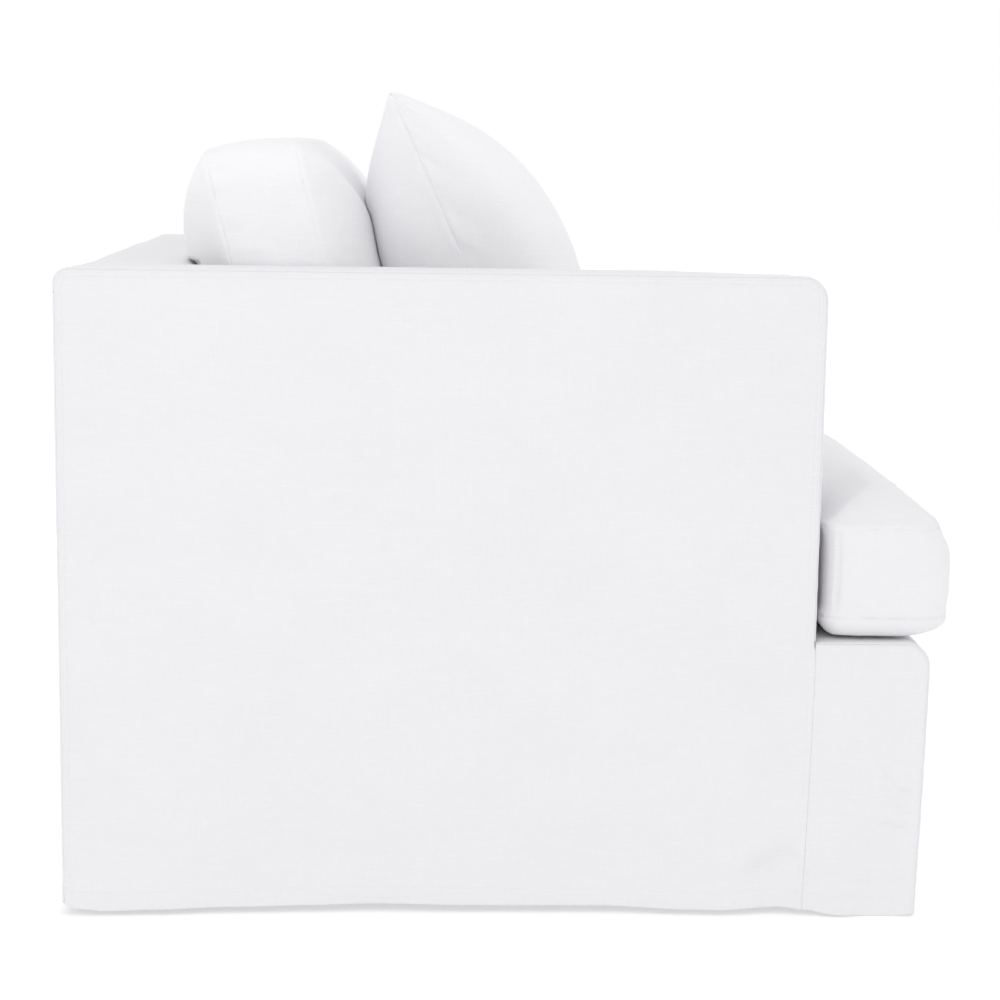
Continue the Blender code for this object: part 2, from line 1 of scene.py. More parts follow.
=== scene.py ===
"""Looks of the linen slipcover of a one-arm sofa section and its three cushions.

Metres, in the model's own frame: +Z up, the seat faces -Y, the width runs along X. "Reach" is the
distance forward from the outside back. Right and left are those of someone seated: the arm is at -X.
Each panel of the cover is a cloth sheet with its seam edges turned in, its rows of topstitching, its
hem and its creases. The cushions are inflated by Blender's cloth solver and then sewn.
"""

import math

import bmesh
import bpy
import numpy as np
from mathutils import Matrix, Vector
from mathutils.bvhtree import BVHTree
from mathutils.kdtree import KDTree

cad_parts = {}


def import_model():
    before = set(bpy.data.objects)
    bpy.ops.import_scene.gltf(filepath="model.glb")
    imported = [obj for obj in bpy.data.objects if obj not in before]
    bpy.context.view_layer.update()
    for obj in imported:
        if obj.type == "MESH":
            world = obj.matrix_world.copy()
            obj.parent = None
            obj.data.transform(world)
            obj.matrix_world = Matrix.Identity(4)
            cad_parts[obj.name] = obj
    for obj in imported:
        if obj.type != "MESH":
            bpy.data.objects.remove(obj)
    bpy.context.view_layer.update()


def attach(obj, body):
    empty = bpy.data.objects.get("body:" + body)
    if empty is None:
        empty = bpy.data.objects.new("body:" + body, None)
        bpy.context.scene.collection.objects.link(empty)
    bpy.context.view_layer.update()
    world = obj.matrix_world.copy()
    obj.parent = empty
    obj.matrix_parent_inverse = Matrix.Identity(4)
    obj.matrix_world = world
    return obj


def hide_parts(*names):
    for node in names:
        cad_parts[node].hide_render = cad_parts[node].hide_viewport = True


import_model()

# ---------------------------------------------------------------- sizes of the cover

WIDTH = 0.950
HALF = WIDTH / 2
ARM_REACH = 0.853
SKIRT_REACH = 0.985
ARM_HEIGHT = 0.733
DECK_HEIGHT = 0.324
ARM_WIDTH = 0.150
ARM_INNER_X = ARM_WIDTH - HALF
BACK_THICKNESS = 0.140
CORNER_R = 0.028
EDGE_R = 0.006
SHOULDER = ARM_HEIGHT - CORNER_R
BACK_Y = 0.509
CLOTH = 0.0014
SEAM_GAP = 0.0003
INNER_ARM_START = 0.111
FLUSH_BEHIND = 0.103
FLUSH_BELOW = (DECK_HEIGHT - 0.012, DECK_HEIGHT - 0.001)

# How the taut box is padded out above, and how its foot hangs.
PADDED_OUT = 0.16
ARM_EDGE_RISE = 0.0042
ARM_FRONT_DIP = 0.0030
FREE_POWER = 1.6
CORNER_FELT = 0.09
CORNER_EASE = 0.08
LEFT_READ_SCALE = 0.93
LEFT_READ_SHIFT = 0.06
JOINT_IN = 0.0045

# How the free cloth under the deck hangs along each foot edge.
SIDE_HEM = (
    # reach, drawn in, lift
    (0.000, 0.000, 0.014),
    (0.012, 0.000, 0.008),
    (0.048, 0.000, 0.005),
    (0.100, 0.002, 0.006),
    (0.200, 0.010, 0.007),
    (0.280, 0.014, 0.008),
    (0.356, 0.017, 0.009),
    (0.476, 0.014, 0.008),
    (0.615, 0.014, 0.008),
    (0.719, 0.007, 0.006),
    (0.753, 0.006, 0.006),
    (0.823, 0.013, 0.008),
    (0.858, 0.007, 0.006),
    (0.893, 0.000, 0.002),
    (0.928, -0.005, 0.000),
    (0.962, -0.005, 0.000),
    (0.985, -0.003, 0.003),
)
BACK_HEM = (
    # x, drawn in, lift
    (-0.475, 0.000, 0.005),
    (-0.400, 0.003, 0.005),
    (-0.270, 0.011, 0.008),
    (-0.120, 0.006, 0.006),
    (0.040, 0.014, 0.009),
    (0.200, 0.005, 0.006),
    (0.320, 0.010, 0.007),
    (0.410, 0.002, 0.005),
    (0.475, 0.000, 0.005),
)
FRONT_HEM = (
    # x, drawn in, lift
    (-0.475, 0.005, 0.000),
    (-0.380, 0.004, 0.002),
    (-0.250, 0.011, 0.006),
    (-0.080, 0.005, 0.003),
    (0.090, 0.012, 0.006),
    (0.230, 0.006, 0.004),
    (0.370, 0.010, 0.004),
    (0.475, 0.005, 0.000),
)


def smooth(x):
    """0 up to 0, 1 from 1, and a soft step between."""
    x = np.clip(x, 0.0, 1.0)
    return x * x * (3 - 2 * x)


def bell(distance, width):
    """1 at 0, falling off softly over about width."""
    return np.exp(-((distance / width) ** 2))


def along(table, place, column):
    """A column of a table read at places, eased from row to row."""
    keys = np.array([row[0] for row in table])
    values = np.array([row[column] for row in table])
    place = np.clip(place, keys[0], keys[-1])
    index = np.clip(np.searchsorted(keys, place) - 1, 0, len(keys) - 2)
    share = smooth((place - keys[index]) / (keys[index + 1] - keys[index]))
    return values[index] + share * (values[index + 1] - values[index])


def square_off(reach, z):
    """Fills the rounded top rear corner of the box out a little, as the padding under it does."""
    a, b = CORNER_R - reach, z - SHOULDER
    turn = np.arctan2(np.maximum(b, 0.0), np.maximum(a, 1e-9))
    push = PADDED_OUT * np.sin(2 * turn) ** 2 * smooth(np.hypot(a, b) / CORNER_R) * (a > 0) * (b > 0)
    return reach - push * a, z + push * b


def hang(x, reach, z):
    """Where points of the taut box end up: padded out above, and hanging free at the foot."""
    reach, z = square_off(reach, z)
    tilt = np.clip((ARM_INNER_X - x) / ARM_WIDTH, 0.0, 1.0)
    high = smooth((z - 0.58) / 0.14)
    z = z + ARM_EDGE_RISE * tilt * high - ARM_FRONT_DIP * (1 - tilt) * high * smooth((reach - 0.66) / 0.16)
    return hang_free(x, reach, z)


def hang_free(x, reach, z):
    """Where points of the taut box end up once the foot of the cover hangs free."""
    free = np.clip(1 - z / DECK_HEIGHT, 0.0, 1.0) ** FREE_POWER
    near_side = smooth((np.abs(x) - HALF + CORNER_FELT) / CORNER_EASE)
    near_back = smooth((CORNER_FELT - reach) / CORNER_EASE)
    near_front = smooth((reach - SKIRT_REACH + CORNER_FELT) / CORNER_EASE)
    left_place = LEFT_READ_SCALE * reach + LEFT_READ_SHIFT * np.sin(math.pi * reach / SKIRT_REACH)
    side_place = np.where(x < 0, reach, left_place)
    side_in = along(SIDE_HEM, side_place, 1)
    back_in = along(BACK_HEM, x, 1)
    front_in = along(FRONT_HEM, x, 1)
    lift = np.maximum(
        np.maximum(near_side * along(SIDE_HEM, side_place, 2), near_back * along(BACK_HEM, x, 2)),
        near_front * along(FRONT_HEM, x, 2),
    )
    joint_in = JOINT_IN * near_side * (x < 0) * bell(reach - ARM_REACH, 0.05)
    return (
        x - np.copysign(near_side * side_in * free, x),
        reach + near_back * back_in * free - near_front * front_in * free - joint_in * free,
        z + lift * free,
    )


def world(x, reach, z):
    x, reach, z = np.broadcast_arrays(x, reach, z)
    return np.stack((x, BACK_Y - reach, z), axis=-1)


# ---------------------------------------------------------------- unevenness


def ripple(place, pitch, seed):
    """Soft uneven waves from -1 to 1, about pitch apart."""
    knots = np.random.default_rng(seed).uniform(-1, 1, 1024)
    at = place / pitch + 512
    low = np.floor(at).astype(int)
    share = smooth(at - low)
    return knots[low % 1024] * (1 - share) + knots[(low + 1) % 1024] * share


def swell(u, v, pitch_u, pitch_v, seed):
    """The same in two directions."""
    knots = np.random.default_rng(seed).uniform(-1, 1, (64, 64))
    at_u, at_v = u / pitch_u + 16, v / pitch_v + 16
    low_u, low_v = np.floor(at_u).astype(int), np.floor(at_v).astype(int)
    share_u, share_v = smooth(at_u - low_u), smooth(at_v - low_v)
    a, b = low_u % 64, (low_u + 1) % 64
    c, d = low_v % 64, (low_v + 1) % 64
    low = knots[a, c] * (1 - share_u) + knots[b, c] * share_u
    high = knots[a, d] * (1 - share_u) + knots[b, d] * share_u
    return low * (1 - share_v) + high * share_v


def creased(table, u, v):
    """Soft troughs and ridges: each row is a line from one point to another, its bow, width and height."""
    total = np.zeros(np.broadcast(u, v).shape)
    for from_u, from_v, to_u, to_v, bow, width, height in table:
        du, dv = to_u - from_u, to_v - from_v
        length = math.hypot(du, dv)
        t = ((u - from_u) * du + (v - from_v) * dv) / length**2
        across = ((v - from_v) * du - (u - from_u) * dv) / length
        across = across - bow * 4 * t * (1 - t)
        fade = smooth(t / 0.3) * smooth((1 - t) / 0.3)
        total += height * fade * bell(across, width)
    return total


def slack(u, v, seed, *waves):
    """The unevenness of loose cloth: each wave is its height and its pitch both ways."""
    return sum(
        height * swell(u, v, pitch_u, pitch_v, seed + 4 + k)
        for k, (height, pitch_u, pitch_v) in enumerate(waves)
    )


# ---------------------------------------------------------------- seams

TOPSTITCH = (0.0050, 0.0095)
ONE_ROW = (0.0042,)
HEM_ROW = 0.0215
STITCH_SINK = 0.00055
ALLOWANCE = 0.00055
TURNS = (42.7, 39.5, 30.0, 20.0)
ROLL_LINES = [EDGE_R * (1 - math.sin(math.radians(turn))) for turn in TURNS]
ROLL_START = ROLL_LINES[0]
SEAM_LINES = [0.0045, 0.0050, 0.0055, 0.0064, 0.0075, 0.0086, 0.0092, 0.0098, 0.0105, 0.012, 0.0145, 0.018]
BUTT_LINES = [-0.0002, 0.0008, 0.0016, 0.0026, 0.0036, 0.0042, 0.0048, 0.0058, 0.0075, 0.010, 0.014, 0.018]


def roll_depth(edge):
    """How deep a surface has rolled away at this distance from the box's edge."""
    edge = np.clip(edge, 0.0, EDGE_R)
    return EDGE_R - np.sqrt(EDGE_R**2 - (EDGE_R - edge) ** 2)


def sewn_down(edge, rows):
    """How far cloth stands out over a turned-in allowance, sunk along its rows of stitches."""
    out = ALLOWANCE * smooth((rows[-1] + 0.0025 - edge) / 0.003) if rows else 0.0
    for row in rows:
        out = out - STITCH_SINK * bell(edge - row, 0.0008)
    return out


def puckers(edge, place, pitch, seed):
    return ripple(place, pitch, seed) + 0.7 * ripple(place + 0.3 * edge, pitch * 2.4, seed + 1)


def stitched(edge, place, seed, rows=TOPSTITCH):
    """How far cloth beside a stitched seam at an edge of the box stands out."""
    out = sewn_down(edge, rows) + 0.00035 * puckers(edge, place, 0.0075, seed) * bell(edge - rows[0], 0.013)
    return out * smooth((edge - ROLL_START) / 0.0015)


def butted(edge, place, seed, rows=ONE_ROW, pitch=0.0060):
    """The same beside a seam that lies flat, where the edge itself sinks too."""
    waves = 0.0005 * puckers(edge, place, pitch, seed) * bell(edge, 0.012)
    return sewn_down(edge, rows) + waves * smooth(edge / 0.002) - 0.0005 * bell(edge, 0.0009)


def turned_in(edge, reach=0.012):
    """The same over an allowance of this reach that isn't stitched down."""
    return ALLOWANCE * smooth((reach - edge) / 0.003) * smooth((edge - ROLL_START) / 0.003)


def sunk(distance):
    """How deep the cloth is drawn in at this distance from a seam between panels."""
    return 0.0009 * bell(distance, 0.0013)


def hemmed(height, place, seed):
    """The same above a foot edge, over the turned-up hem."""
    out = 0.0004 * smooth((HEM_ROW + 0.004 - height) / 0.004) - 0.00045 * bell(height - HEM_ROW, 0.0010)
    waves = ripple(place, 0.010, seed) + 0.8 * ripple(place, 0.028, seed + 1)
    return out + 0.00035 * waves * bell(height - HEM_ROW, 0.013)


# ---------------------------------------------------------------- sheets


def grid_lines(length, low, high, pitch):
    """Grid lines from close to 0 to close to length: low and high are the lines near each end."""
    first, last = low[-1], length - high[-1]
    count = max(int(round((last - first) / pitch)), 1)
    inner = [first + (last - first) * i / count for i in range(1, count)]
    return np.array(list(low) + inner + [length - line for line in reversed(high)])


ROLLED = ROLL_LINES + SEAM_LINES
ROLLED_CORNER = ROLLED + [0.0225, CORNER_R]
HEM_LINES = [0.0, 0.001, 0.006, 0.012, 0.017, 0.0195, 0.0207, 0.0215, 0.0223, 0.0235, 0.0265, 0.031]
PLAIN = [SEAM_GAP / 2]


def grid_mesh(name, points, outward):
    """A one-sided mesh over a grid of points, facing outward."""
    tall, wide = points.shape[:2]
    index = np.arange(tall * wide).reshape(tall, wide)
    corners = (index[:-1, :-1], index[:-1, 1:], index[1:, 1:], index[1:, :-1])
    faces = np.stack([corner.ravel() for corner in corners], axis=-1)
    a, b, c, d = (points.reshape(-1, 3)[faces[:, k]] for k in range(4))
    facing = np.cross(c - a, d - b).sum(axis=0)
    if facing @ np.array(outward) < 0:
        faces = faces[:, ::-1]
    mesh = bpy.data.meshes.new(name)
    mesh.from_pydata(points.reshape(-1, 3).tolist(), [], faces.tolist())
    mesh.update()
    return mesh


def link(name, mesh):
    thing = bpy.data.objects.new(name, mesh)
    bpy.context.scene.collection.objects.link(thing)
    return thing


def cloth_sheet(node, points, outward, flat):
    """The cloth of one panel in place of its CAD node."""
    flat = tuple(round(float(side), 3) for side in flat)
    mesh = grid_mesh(node + "_sheet", points, outward)
    mesh.shade_smooth()
    thing = link(node + "_linen", mesh)
    thickness = thing.modifiers.new("cloth thickness", "SOLIDIFY")
    thickness.thickness = CLOTH
    thickness.offset = -1.0
    thickness.use_even_offset = False
    mesh.materials.append(PANEL_LINEN)
    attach(thing, "root")
    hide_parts(node)
    return thing


def round_off(low, high):
    """Moves points of a square corner onto quarter circles. They are given as distances from two edges."""
    a, b = CORNER_R - low, CORNER_R - high
    ring = np.maximum(a, b)
    size = np.maximum(np.hypot(a, b), 1e-9)
    inside = (a > 0) & (b > 0)
    return (
        np.where(inside, CORNER_R - ring * a / size, low),
        np.where(inside, CORNER_R - ring * b / size, high),
    )


def profile(*legs):
    """Stations (reach, z, outward reach, outward z) along a strip."""
    return np.array([station for leg in legs for station in leg])


def straight(start, end, pitch, outward):
    (reach, z), (end_reach, end_z) = start, end
    cells = max(int(math.hypot(end_reach - reach, end_z - z) / pitch), 1)
    return [
        (reach + (end_reach - reach) * i / cells, z + (end_z - z) * i / cells, *outward)
        for i in range(cells + 1)
    ]


BEND_CELLS = 8


def bend(centre, start, end):
    """The inner stations of a quarter turn, from one angle to another."""
    stations = []
    for i in range(1, BEND_CELLS):
        angle = math.radians(start + (end - start) * i / BEND_CELLS)
        out = (math.cos(angle), math.sin(angle))
        stations.append((centre[0] + CORNER_R * out[0], centre[1] + CORNER_R * out[1], *out))
    return stations


def run_of(stations):
    steps = np.hypot(np.diff(stations[:, 0]), np.diff(stations[:, 1]))
    return np.concatenate(([0.0], np.cumsum(steps)))


STITCHES = {}
STITCH_SAMPLE = 0.002
STITCH_START = 0.004


def stitch(group, points, outward):
    """Keeps a line of points on the cloth for the stitches that are made at the end."""
    STITCHES.setdefault(group, []).append((np.asarray(points), np.asarray(outward, float)))


def stitch_hem(group, surface, length, outward, start=STITCH_START):
    u = np.arange(start, length - STITCH_START, STITCH_SAMPLE)
    stitch("hem_" + group, surface(u, np.full(len(u), HEM_ROW)), outward)


# Creases of the right side panel, as seen in the light from its front: along from the back seam, height,
# then the same for the other end, bow, half width, height of the ridge.
RIGHT_SIDE_CREASES = (
    (0.845, 0.300, 0.735, 0.285, 0.006, 0.012, -0.0016),
    (0.845, 0.318, 0.765, 0.312, 0.003, 0.008, 0.0008),
    (0.856, 0.080, 0.775, 0.030, -0.004, 0.009, -0.0052),
    (0.848, 0.106, 0.760, 0.052, -0.004, 0.012, 0.0040),
    (0.690, 0.062, 0.640, 0.028, 0.003, 0.012, 0.0010),
    (0.600, 0.060, 0.480, 0.030, 0.004, 0.018, 0.0008),
    (0.400, 0.075, 0.250, 0.030, -0.006, 0.022, -0.0010),
    (0.060, 0.120, 0.160, 0.040, 0.008, 0.018, 0.0010),
    (0.020, 0.300, 0.110, 0.250, 0.006, 0.020, -0.0007),
    (0.060, 0.700, 0.220, 0.640, 0.010, 0.030, -0.0007),
    (0.790, 0.700, 0.640, 0.640, -0.008, 0.028, -0.0007),
    (0.838, 0.520, 0.700, 0.470, -0.006, 0.022, 0.0006),
    (0.838, 0.420, 0.720, 0.395, 0.004, 0.018, -0.0006),
)
BACK_END_CREASES = (
    (0.010, 0.130, 0.120, 0.050, 0.006, 0.014, -0.0012),
    (0.020, 0.690, 0.120, 0.640, 0.008, 0.020, -0.0006),
    (0.130, 0.330, 0.050, 0.270, -0.006, 0.016, 0.0007),
)


def end_panel(side, front, node, group, pitch, creases, seed):
    """The tall panel that closes the arm, or the back at the open side, with its topstitching."""
    columns = grid_lines(front, ROLLED_CORNER, ROLLED_CORNER, pitch)
    rows = grid_lines(ARM_HEIGHT, HEM_LINES, ROLLED_CORNER, pitch)

    def surface(u, v):
        from_top = ARM_HEIGHT - v
        low_u, low_down = round_off(u, from_top)
        high_u, high_down = round_off(front - u, from_top)
        back_half = u < front / 2
        reach = np.where(back_half, low_u, front - high_u)
        z = ARM_HEIGHT - np.where(back_half, low_down, high_down)
        edge = np.minimum(np.minimum(u, front - u), from_top)
        flush = 1 - smooth((z - FLUSH_BELOW[0]) / (FLUSH_BELOW[1] - FLUSH_BELOW[0]))
        place = np.where(edge == from_top, u, v)
        from_front = front - u
        flat_seam = butted(np.maximum(from_front - ROLL_START, 0), z, seed + 7)
        front_share = flush * smooth((0.03 - from_front) / 0.01)
        relief = stitched(edge, place, seed) * (1 - front_share) + flat_seam * front_share
        relief += hemmed(v, u, seed + 3)
        away = smooth((edge - 0.012) / 0.05)
        relief += away * slack(u, v, seed, (0.0011, 0.21, 0.16), (0.0005, 0.085, 0.060))
        relief += smooth((edge - 0.004) / 0.012) * creased(creases, u, v)
        near_front = u > front - EDGE_R - 1e-6
        share = flush * ROLL_START * (1 - (front - reach - ROLL_START) / (EDGE_R - ROLL_START))
        reach = np.where(near_front, reach + share, reach)
        inward = roll_depth(edge)
        inward = np.where(near_front, inward * (1 - flush), inward) - relief
        return world(*hang(side * (HALF - inward), reach, z))

    cloth_sheet(node, surface(*np.meshgrid(columns, rows)), (side, 0, 0), (front, ARM_HEIGHT))
    for row in TOPSTITCH:
        rise = np.arange(STITCH_START, ARM_HEIGHT - row, STITCH_SAMPLE)
        fore = np.arange(row, front - row, STITCH_SAMPLE)
        down = np.arange(ARM_HEIGHT - row, DECK_HEIGHT - 0.006, -STITCH_SAMPLE)
        u = np.concatenate((np.full(len(rise), row), fore, np.full(len(down), front - row)))
        v = np.concatenate((rise, np.full(len(fore), ARM_HEIGHT - row), down))
        stitch("side_" + group, surface(u, v), (side, 0, 0))
    v = np.arange(STITCH_START, DECK_HEIGHT - 0.008, STITCH_SAMPLE)
    stitch("side_" + group, surface(np.full(len(v), front - ROLL_START - ONE_ROW[0]), v), (side, 0, 0))
    stitch_hem(group, surface, front, (side, 0, 0))


SKIRT_RIGHT_CREASES = (
    (0.128, 0.140, 0.076, 0.184, 0.004, 0.0046, -0.0036),
    (0.124, 0.126, 0.078, 0.150, 0.002, 0.0044, 0.0026),
    (0.122, 0.108, 0.080, 0.117, 0.003, 0.0042, -0.0032),
    (0.118, 0.150, 0.086, 0.176, 0.003, 0.0046, 0.0018),
    (0.004, 0.022, 0.066, 0.040, -0.003, 0.008, 0.0026),
    (0.004, 0.285, 0.045, 0.300, 0.003, 0.007, 0.0010),
    (0.006, 0.060, 0.060, 0.020, 0.004, 0.012, -0.0012),
    (0.100, 0.250, 0.060, 0.290, 0.003, 0.012, -0.0008),
)


SKIRT_LEFT_CREASES = (
    (0.700, 0.305, 0.600, 0.270, -0.006, 0.013, -0.0015),
    (0.690, 0.110, 0.620, 0.050, 0.005, 0.012, -0.0018),
    (0.500, 0.080, 0.420, 0.028, 0.004, 0.016, 0.0014),
    (0.280, 0.090, 0.190, 0.030, -0.006, 0.020, -0.0012),
    (0.030, 0.130, 0.100, 0.035, 0.008, 0.018, 0.0011),
    (0.060, 0.290, 0.180, 0.240, 0.006, 0.018, -0.0009),
    (0.830, 0.130, 0.775, 0.060, -0.004, 0.012, 0.0011),
)


def skirt_side(side, rear, node, group, pitch, creases, seed):
    """The skirt at one side, from the end panel's front edge to the front of the skirt."""
    length = SKIRT_REACH - rear
    columns = grid_lines(length, BUTT_LINES, ROLLED_CORNER, pitch)
    rows = grid_lines(DECK_HEIGHT, HEM_LINES, ROLLED_CORNER, pitch)

    def surface(u, v):
        from_top = DECK_HEIGHT - v
        high_u, high_down = round_off(length - u, from_top)
        front_half = u > length / 2
        reach = rear + np.where(front_half, length - high_u, u)
        z = DECK_HEIGHT - np.where(front_half, high_down, from_top)
        edge = np.minimum(length - u, from_top)
        place = np.where(edge == from_top, u, v)
        near_seam = smooth((0.06 - u) / 0.04)
        relief = stitched(edge, place, seed, rows=ONE_ROW) * (1 - near_seam)
        relief += near_seam * butted(u, v, seed + 7, rows=(), pitch=0.0042)
        relief += hemmed(v, rear + u, seed + 3)
        relief += smooth((edge - 0.008) / 0.03) * smooth(u / 0.03) * slack(u, v, seed, (0.0008, 0.07, 0.10))
        relief += smooth((edge - 0.003) / 0.008) * smooth(u / 0.006) * creased(creases, u, v)
        inward = roll_depth(edge) - relief
        return world(*hang(side * (HALF - inward), reach, z))

    cloth_sheet(node, surface(*np.meshgrid(columns, rows)), (side, 0, 0), (length, DECK_HEIGHT))
    row = ONE_ROW[0]
    rise = np.arange(STITCH_START, DECK_HEIGHT - row, STITCH_SAMPLE)
    aft = np.arange(length - row, STITCH_START, -STITCH_SAMPLE)
    u = np.concatenate((np.full(len(rise), length - row), aft))
    v = np.concatenate((rise, np.full(len(aft), DECK_HEIGHT - row)))
    stitch("side_" + group, surface(u, v), (side, 0, 0))
    stitch_hem(group, surface, length, (side, 0, 0), start=STITCH_SAMPLE)


def inside_arm(pitch, seed):
    length = ARM_REACH - INNER_ARM_START
    tall = ARM_HEIGHT - DECK_HEIGHT
    columns = grid_lines(length, PLAIN, ROLLED_CORNER, pitch)
    rows = grid_lines(tall, PLAIN, ROLLED_CORNER, pitch)

    def surface(u, v):
        from_top = tall - v
        high_u, high_down = round_off(length - u, from_top)
        reach = INNER_ARM_START + length - high_u
        z = ARM_HEIGHT - np.where(u > length / 2, high_down, from_top)
        edge = np.minimum(length - u, from_top)
        relief = stitched(edge, np.where(edge == from_top, u, v), seed) * smooth(u / 0.012)
        away = smooth((edge - 0.012) / 0.05) * smooth((u - 0.03) / 0.05) * smooth(v / 0.05)
        relief += away * slack(u, v, seed, (0.0012, 0.17, 0.12))
        inward = roll_depth(edge) - np.maximum(relief, -0.001)
        return world(*hang(ARM_INNER_X - inward, reach, z))

    cloth_sheet("inside_arm", surface(*np.meshgrid(columns, rows)), (1, 0, 0), (length, tall))


def strip_points(stations, across, surface):
    """Grid of a strip: surface(u, reach, z, out reach, out z, run) for each station."""
    run = run_of(stations)
    u, index = np.meshgrid(across, np.arange(len(stations)))
    return surface(u, *(stations[index, k] for k in range(4)), run[index])


def arm_strip(pitch, seed):
    front = ARM_REACH - CORNER_R
    stations = profile(
        straight((ARM_REACH, DECK_HEIGHT + SEAM_GAP), (ARM_REACH, SHOULDER), pitch, (1, 0)),
        bend((front, SHOULDER), 0, 90),
        straight((front, ARM_HEIGHT), (INNER_ARM_START, ARM_HEIGHT), pitch, (0, 1)),
        [(INNER_ARM_START - 0.002, ARM_HEIGHT, 0, 1)],
        straight((FLUSH_BEHIND, ARM_HEIGHT), (CORNER_R, ARM_HEIGHT), pitch, (0, 1)),
        bend((CORNER_R, SHOULDER), 90, 180),
        [(0.0, SHOULDER + SEAM_GAP, -1, 0)],
    )
    across = grid_lines(ARM_WIDTH, ROLLED, ROLLED, pitch)

    def surface(u, reach, z, out_reach, out_z, run):
        edge = np.minimum(u, ARM_WIDTH - u)
        depth = roll_depth(edge)
        relief = turned_in(edge) + 0.0003 * ripple(run, 0.009, seed) * bell(edge, 0.012)
        away = smooth((edge - 0.010) / 0.03)
        relief += away * slack(run, u, seed, (0.0011, 0.12, 0.07), (0.0005, 0.035, 0.09))
        relief *= smooth((edge - ROLL_START) / 0.002)
        flat = (u > ARM_WIDTH / 2) & (reach <= FLUSH_BEHIND + 1e-6) & (edge < EDGE_R)
        share = 1 - (edge - ROLL_START) / (EDGE_R - ROLL_START)
        u = np.where(flat, u + ROLL_START * share, u)
        depth = np.where(flat, 0.0009 * share, depth - relief)
        return world(*hang(u - HALF, reach - out_reach * depth, z - out_z * depth))

    points = strip_points(stations, across, surface)
    cloth_sheet("arm_strip", points, (0, -1, 2), (ARM_WIDTH, run_of(stations)[-1]))


def outside_back(pitch, seed):
    columns = grid_lines(WIDTH, ROLLED_CORNER, ROLLED_CORNER, pitch)
    rows = grid_lines(SHOULDER, HEM_LINES, BUTT_LINES[:5] + [0.010], pitch)

    def surface(u, v):
        edge = np.minimum(u, WIDTH - u)
        from_top = SHOULDER - v
        relief = ALLOWANCE * smooth((0.012 - edge) / 0.003)
        relief += 0.0004 * ripple(v, 0.009, seed) * bell(edge, 0.012)
        relief *= smooth((edge - ROLL_START) / 0.002)
        relief += hemmed(v, u, seed + 3) - sunk(from_top)
        away = smooth((edge - 0.012) / 0.05) * smooth((from_top - 0.01) / 0.05)
        loose = slack(u, v, seed, (0.0016, 0.19, 0.17), (0.0006, 0.08, 0.06))
        relief += away * (loose + creased(BACK_CREASES, u, v))
        return world(*hang(u - HALF, roll_depth(edge) - relief, v))

    cloth_sheet("outside_back", surface(*np.meshgrid(columns, rows)), (0, 1, 0), (WIDTH, SHOULDER))
    stitch_hem("back", surface, WIDTH, (0, 1, 0))


BACK_CREASES = (
    (0.050, 0.300, 0.260, 0.210, 0.020, 0.030, -0.0018),
    (0.900, 0.310, 0.690, 0.190, -0.020, 0.030, -0.0018),
    (0.330, 0.260, 0.420, 0.030, 0.015, 0.025, 0.0020),
    (0.640, 0.240, 0.590, 0.030, -0.012, 0.022, -0.0018),
    (0.480, 0.200, 0.500, 0.028, 0.006, 0.018, -0.0012),
    (0.180, 0.640, 0.420, 0.600, 0.020, 0.035, -0.0010),
    (0.780, 0.650, 0.560, 0.590, -0.018, 0.035, -0.0010),
)


def back_top(pitch, seed):
    front = BACK_THICKNESS - CORNER_R
    stations = profile(
        [(0.0, SHOULDER + SEAM_GAP, -1, 0), (0.0005, SHOULDER + 0.003, -1, 0)],
        bend((CORNER_R, SHOULDER), 180, 90),
        straight((CORNER_R, ARM_HEIGHT), (front, ARM_HEIGHT), pitch, (0, 1)),
        bend((front, SHOULDER), 90, 0),
        [(BACK_THICKNESS, SHOULDER + SEAM_GAP, 1, 0)],
    )
    width = HALF - ARM_INNER_X
    across = grid_lines(width, BUTT_LINES[:5] + [0.010], ROLLED, pitch)
    total = run_of(stations)[-1]

    def surface(u, reach, z, out_reach, out_z, run):
        from_end = width - u
        relief = turned_in(from_end) - sunk(u) - sunk(run) - sunk(total - run)
        away = smooth((total - run) / 0.03) * smooth(run / 0.03)
        away *= smooth(u / 0.02) * smooth(from_end / 0.02)
        depth = roll_depth(from_end) - relief - away * 0.0012 * swell(u, run, 0.10, 0.06, seed)
        return world(*hang(ARM_INNER_X + u, reach - out_reach * depth, z - out_z * depth))

    points = strip_points(stations, across, surface)
    cloth_sheet("back_top", points, (0, 0, 1), (width, total))


def inside_back(pitch, seed):
    width, tall = HALF - ARM_INNER_X, SHOULDER - DECK_HEIGHT
    columns = grid_lines(width, PLAIN, ROLLED, pitch)
    rows = grid_lines(tall, PLAIN, PLAIN, pitch)

    def surface(u, v):
        from_end = width - u
        away = smooth(u / 0.05) * smooth(v / 0.05)
        away *= smooth((tall - v) / 0.05) * smooth((from_end - 0.01) / 0.05)
        relief = turned_in(from_end) + away * 0.0010 * swell(u, v, 0.15, 0.12, seed)
        return world(ARM_INNER_X + u, BACK_THICKNESS - roll_depth(from_end) + relief, DECK_HEIGHT + v)

    cloth_sheet("inside_back", surface(*np.meshgrid(columns, rows)), (0, -1, 0), (width, tall))


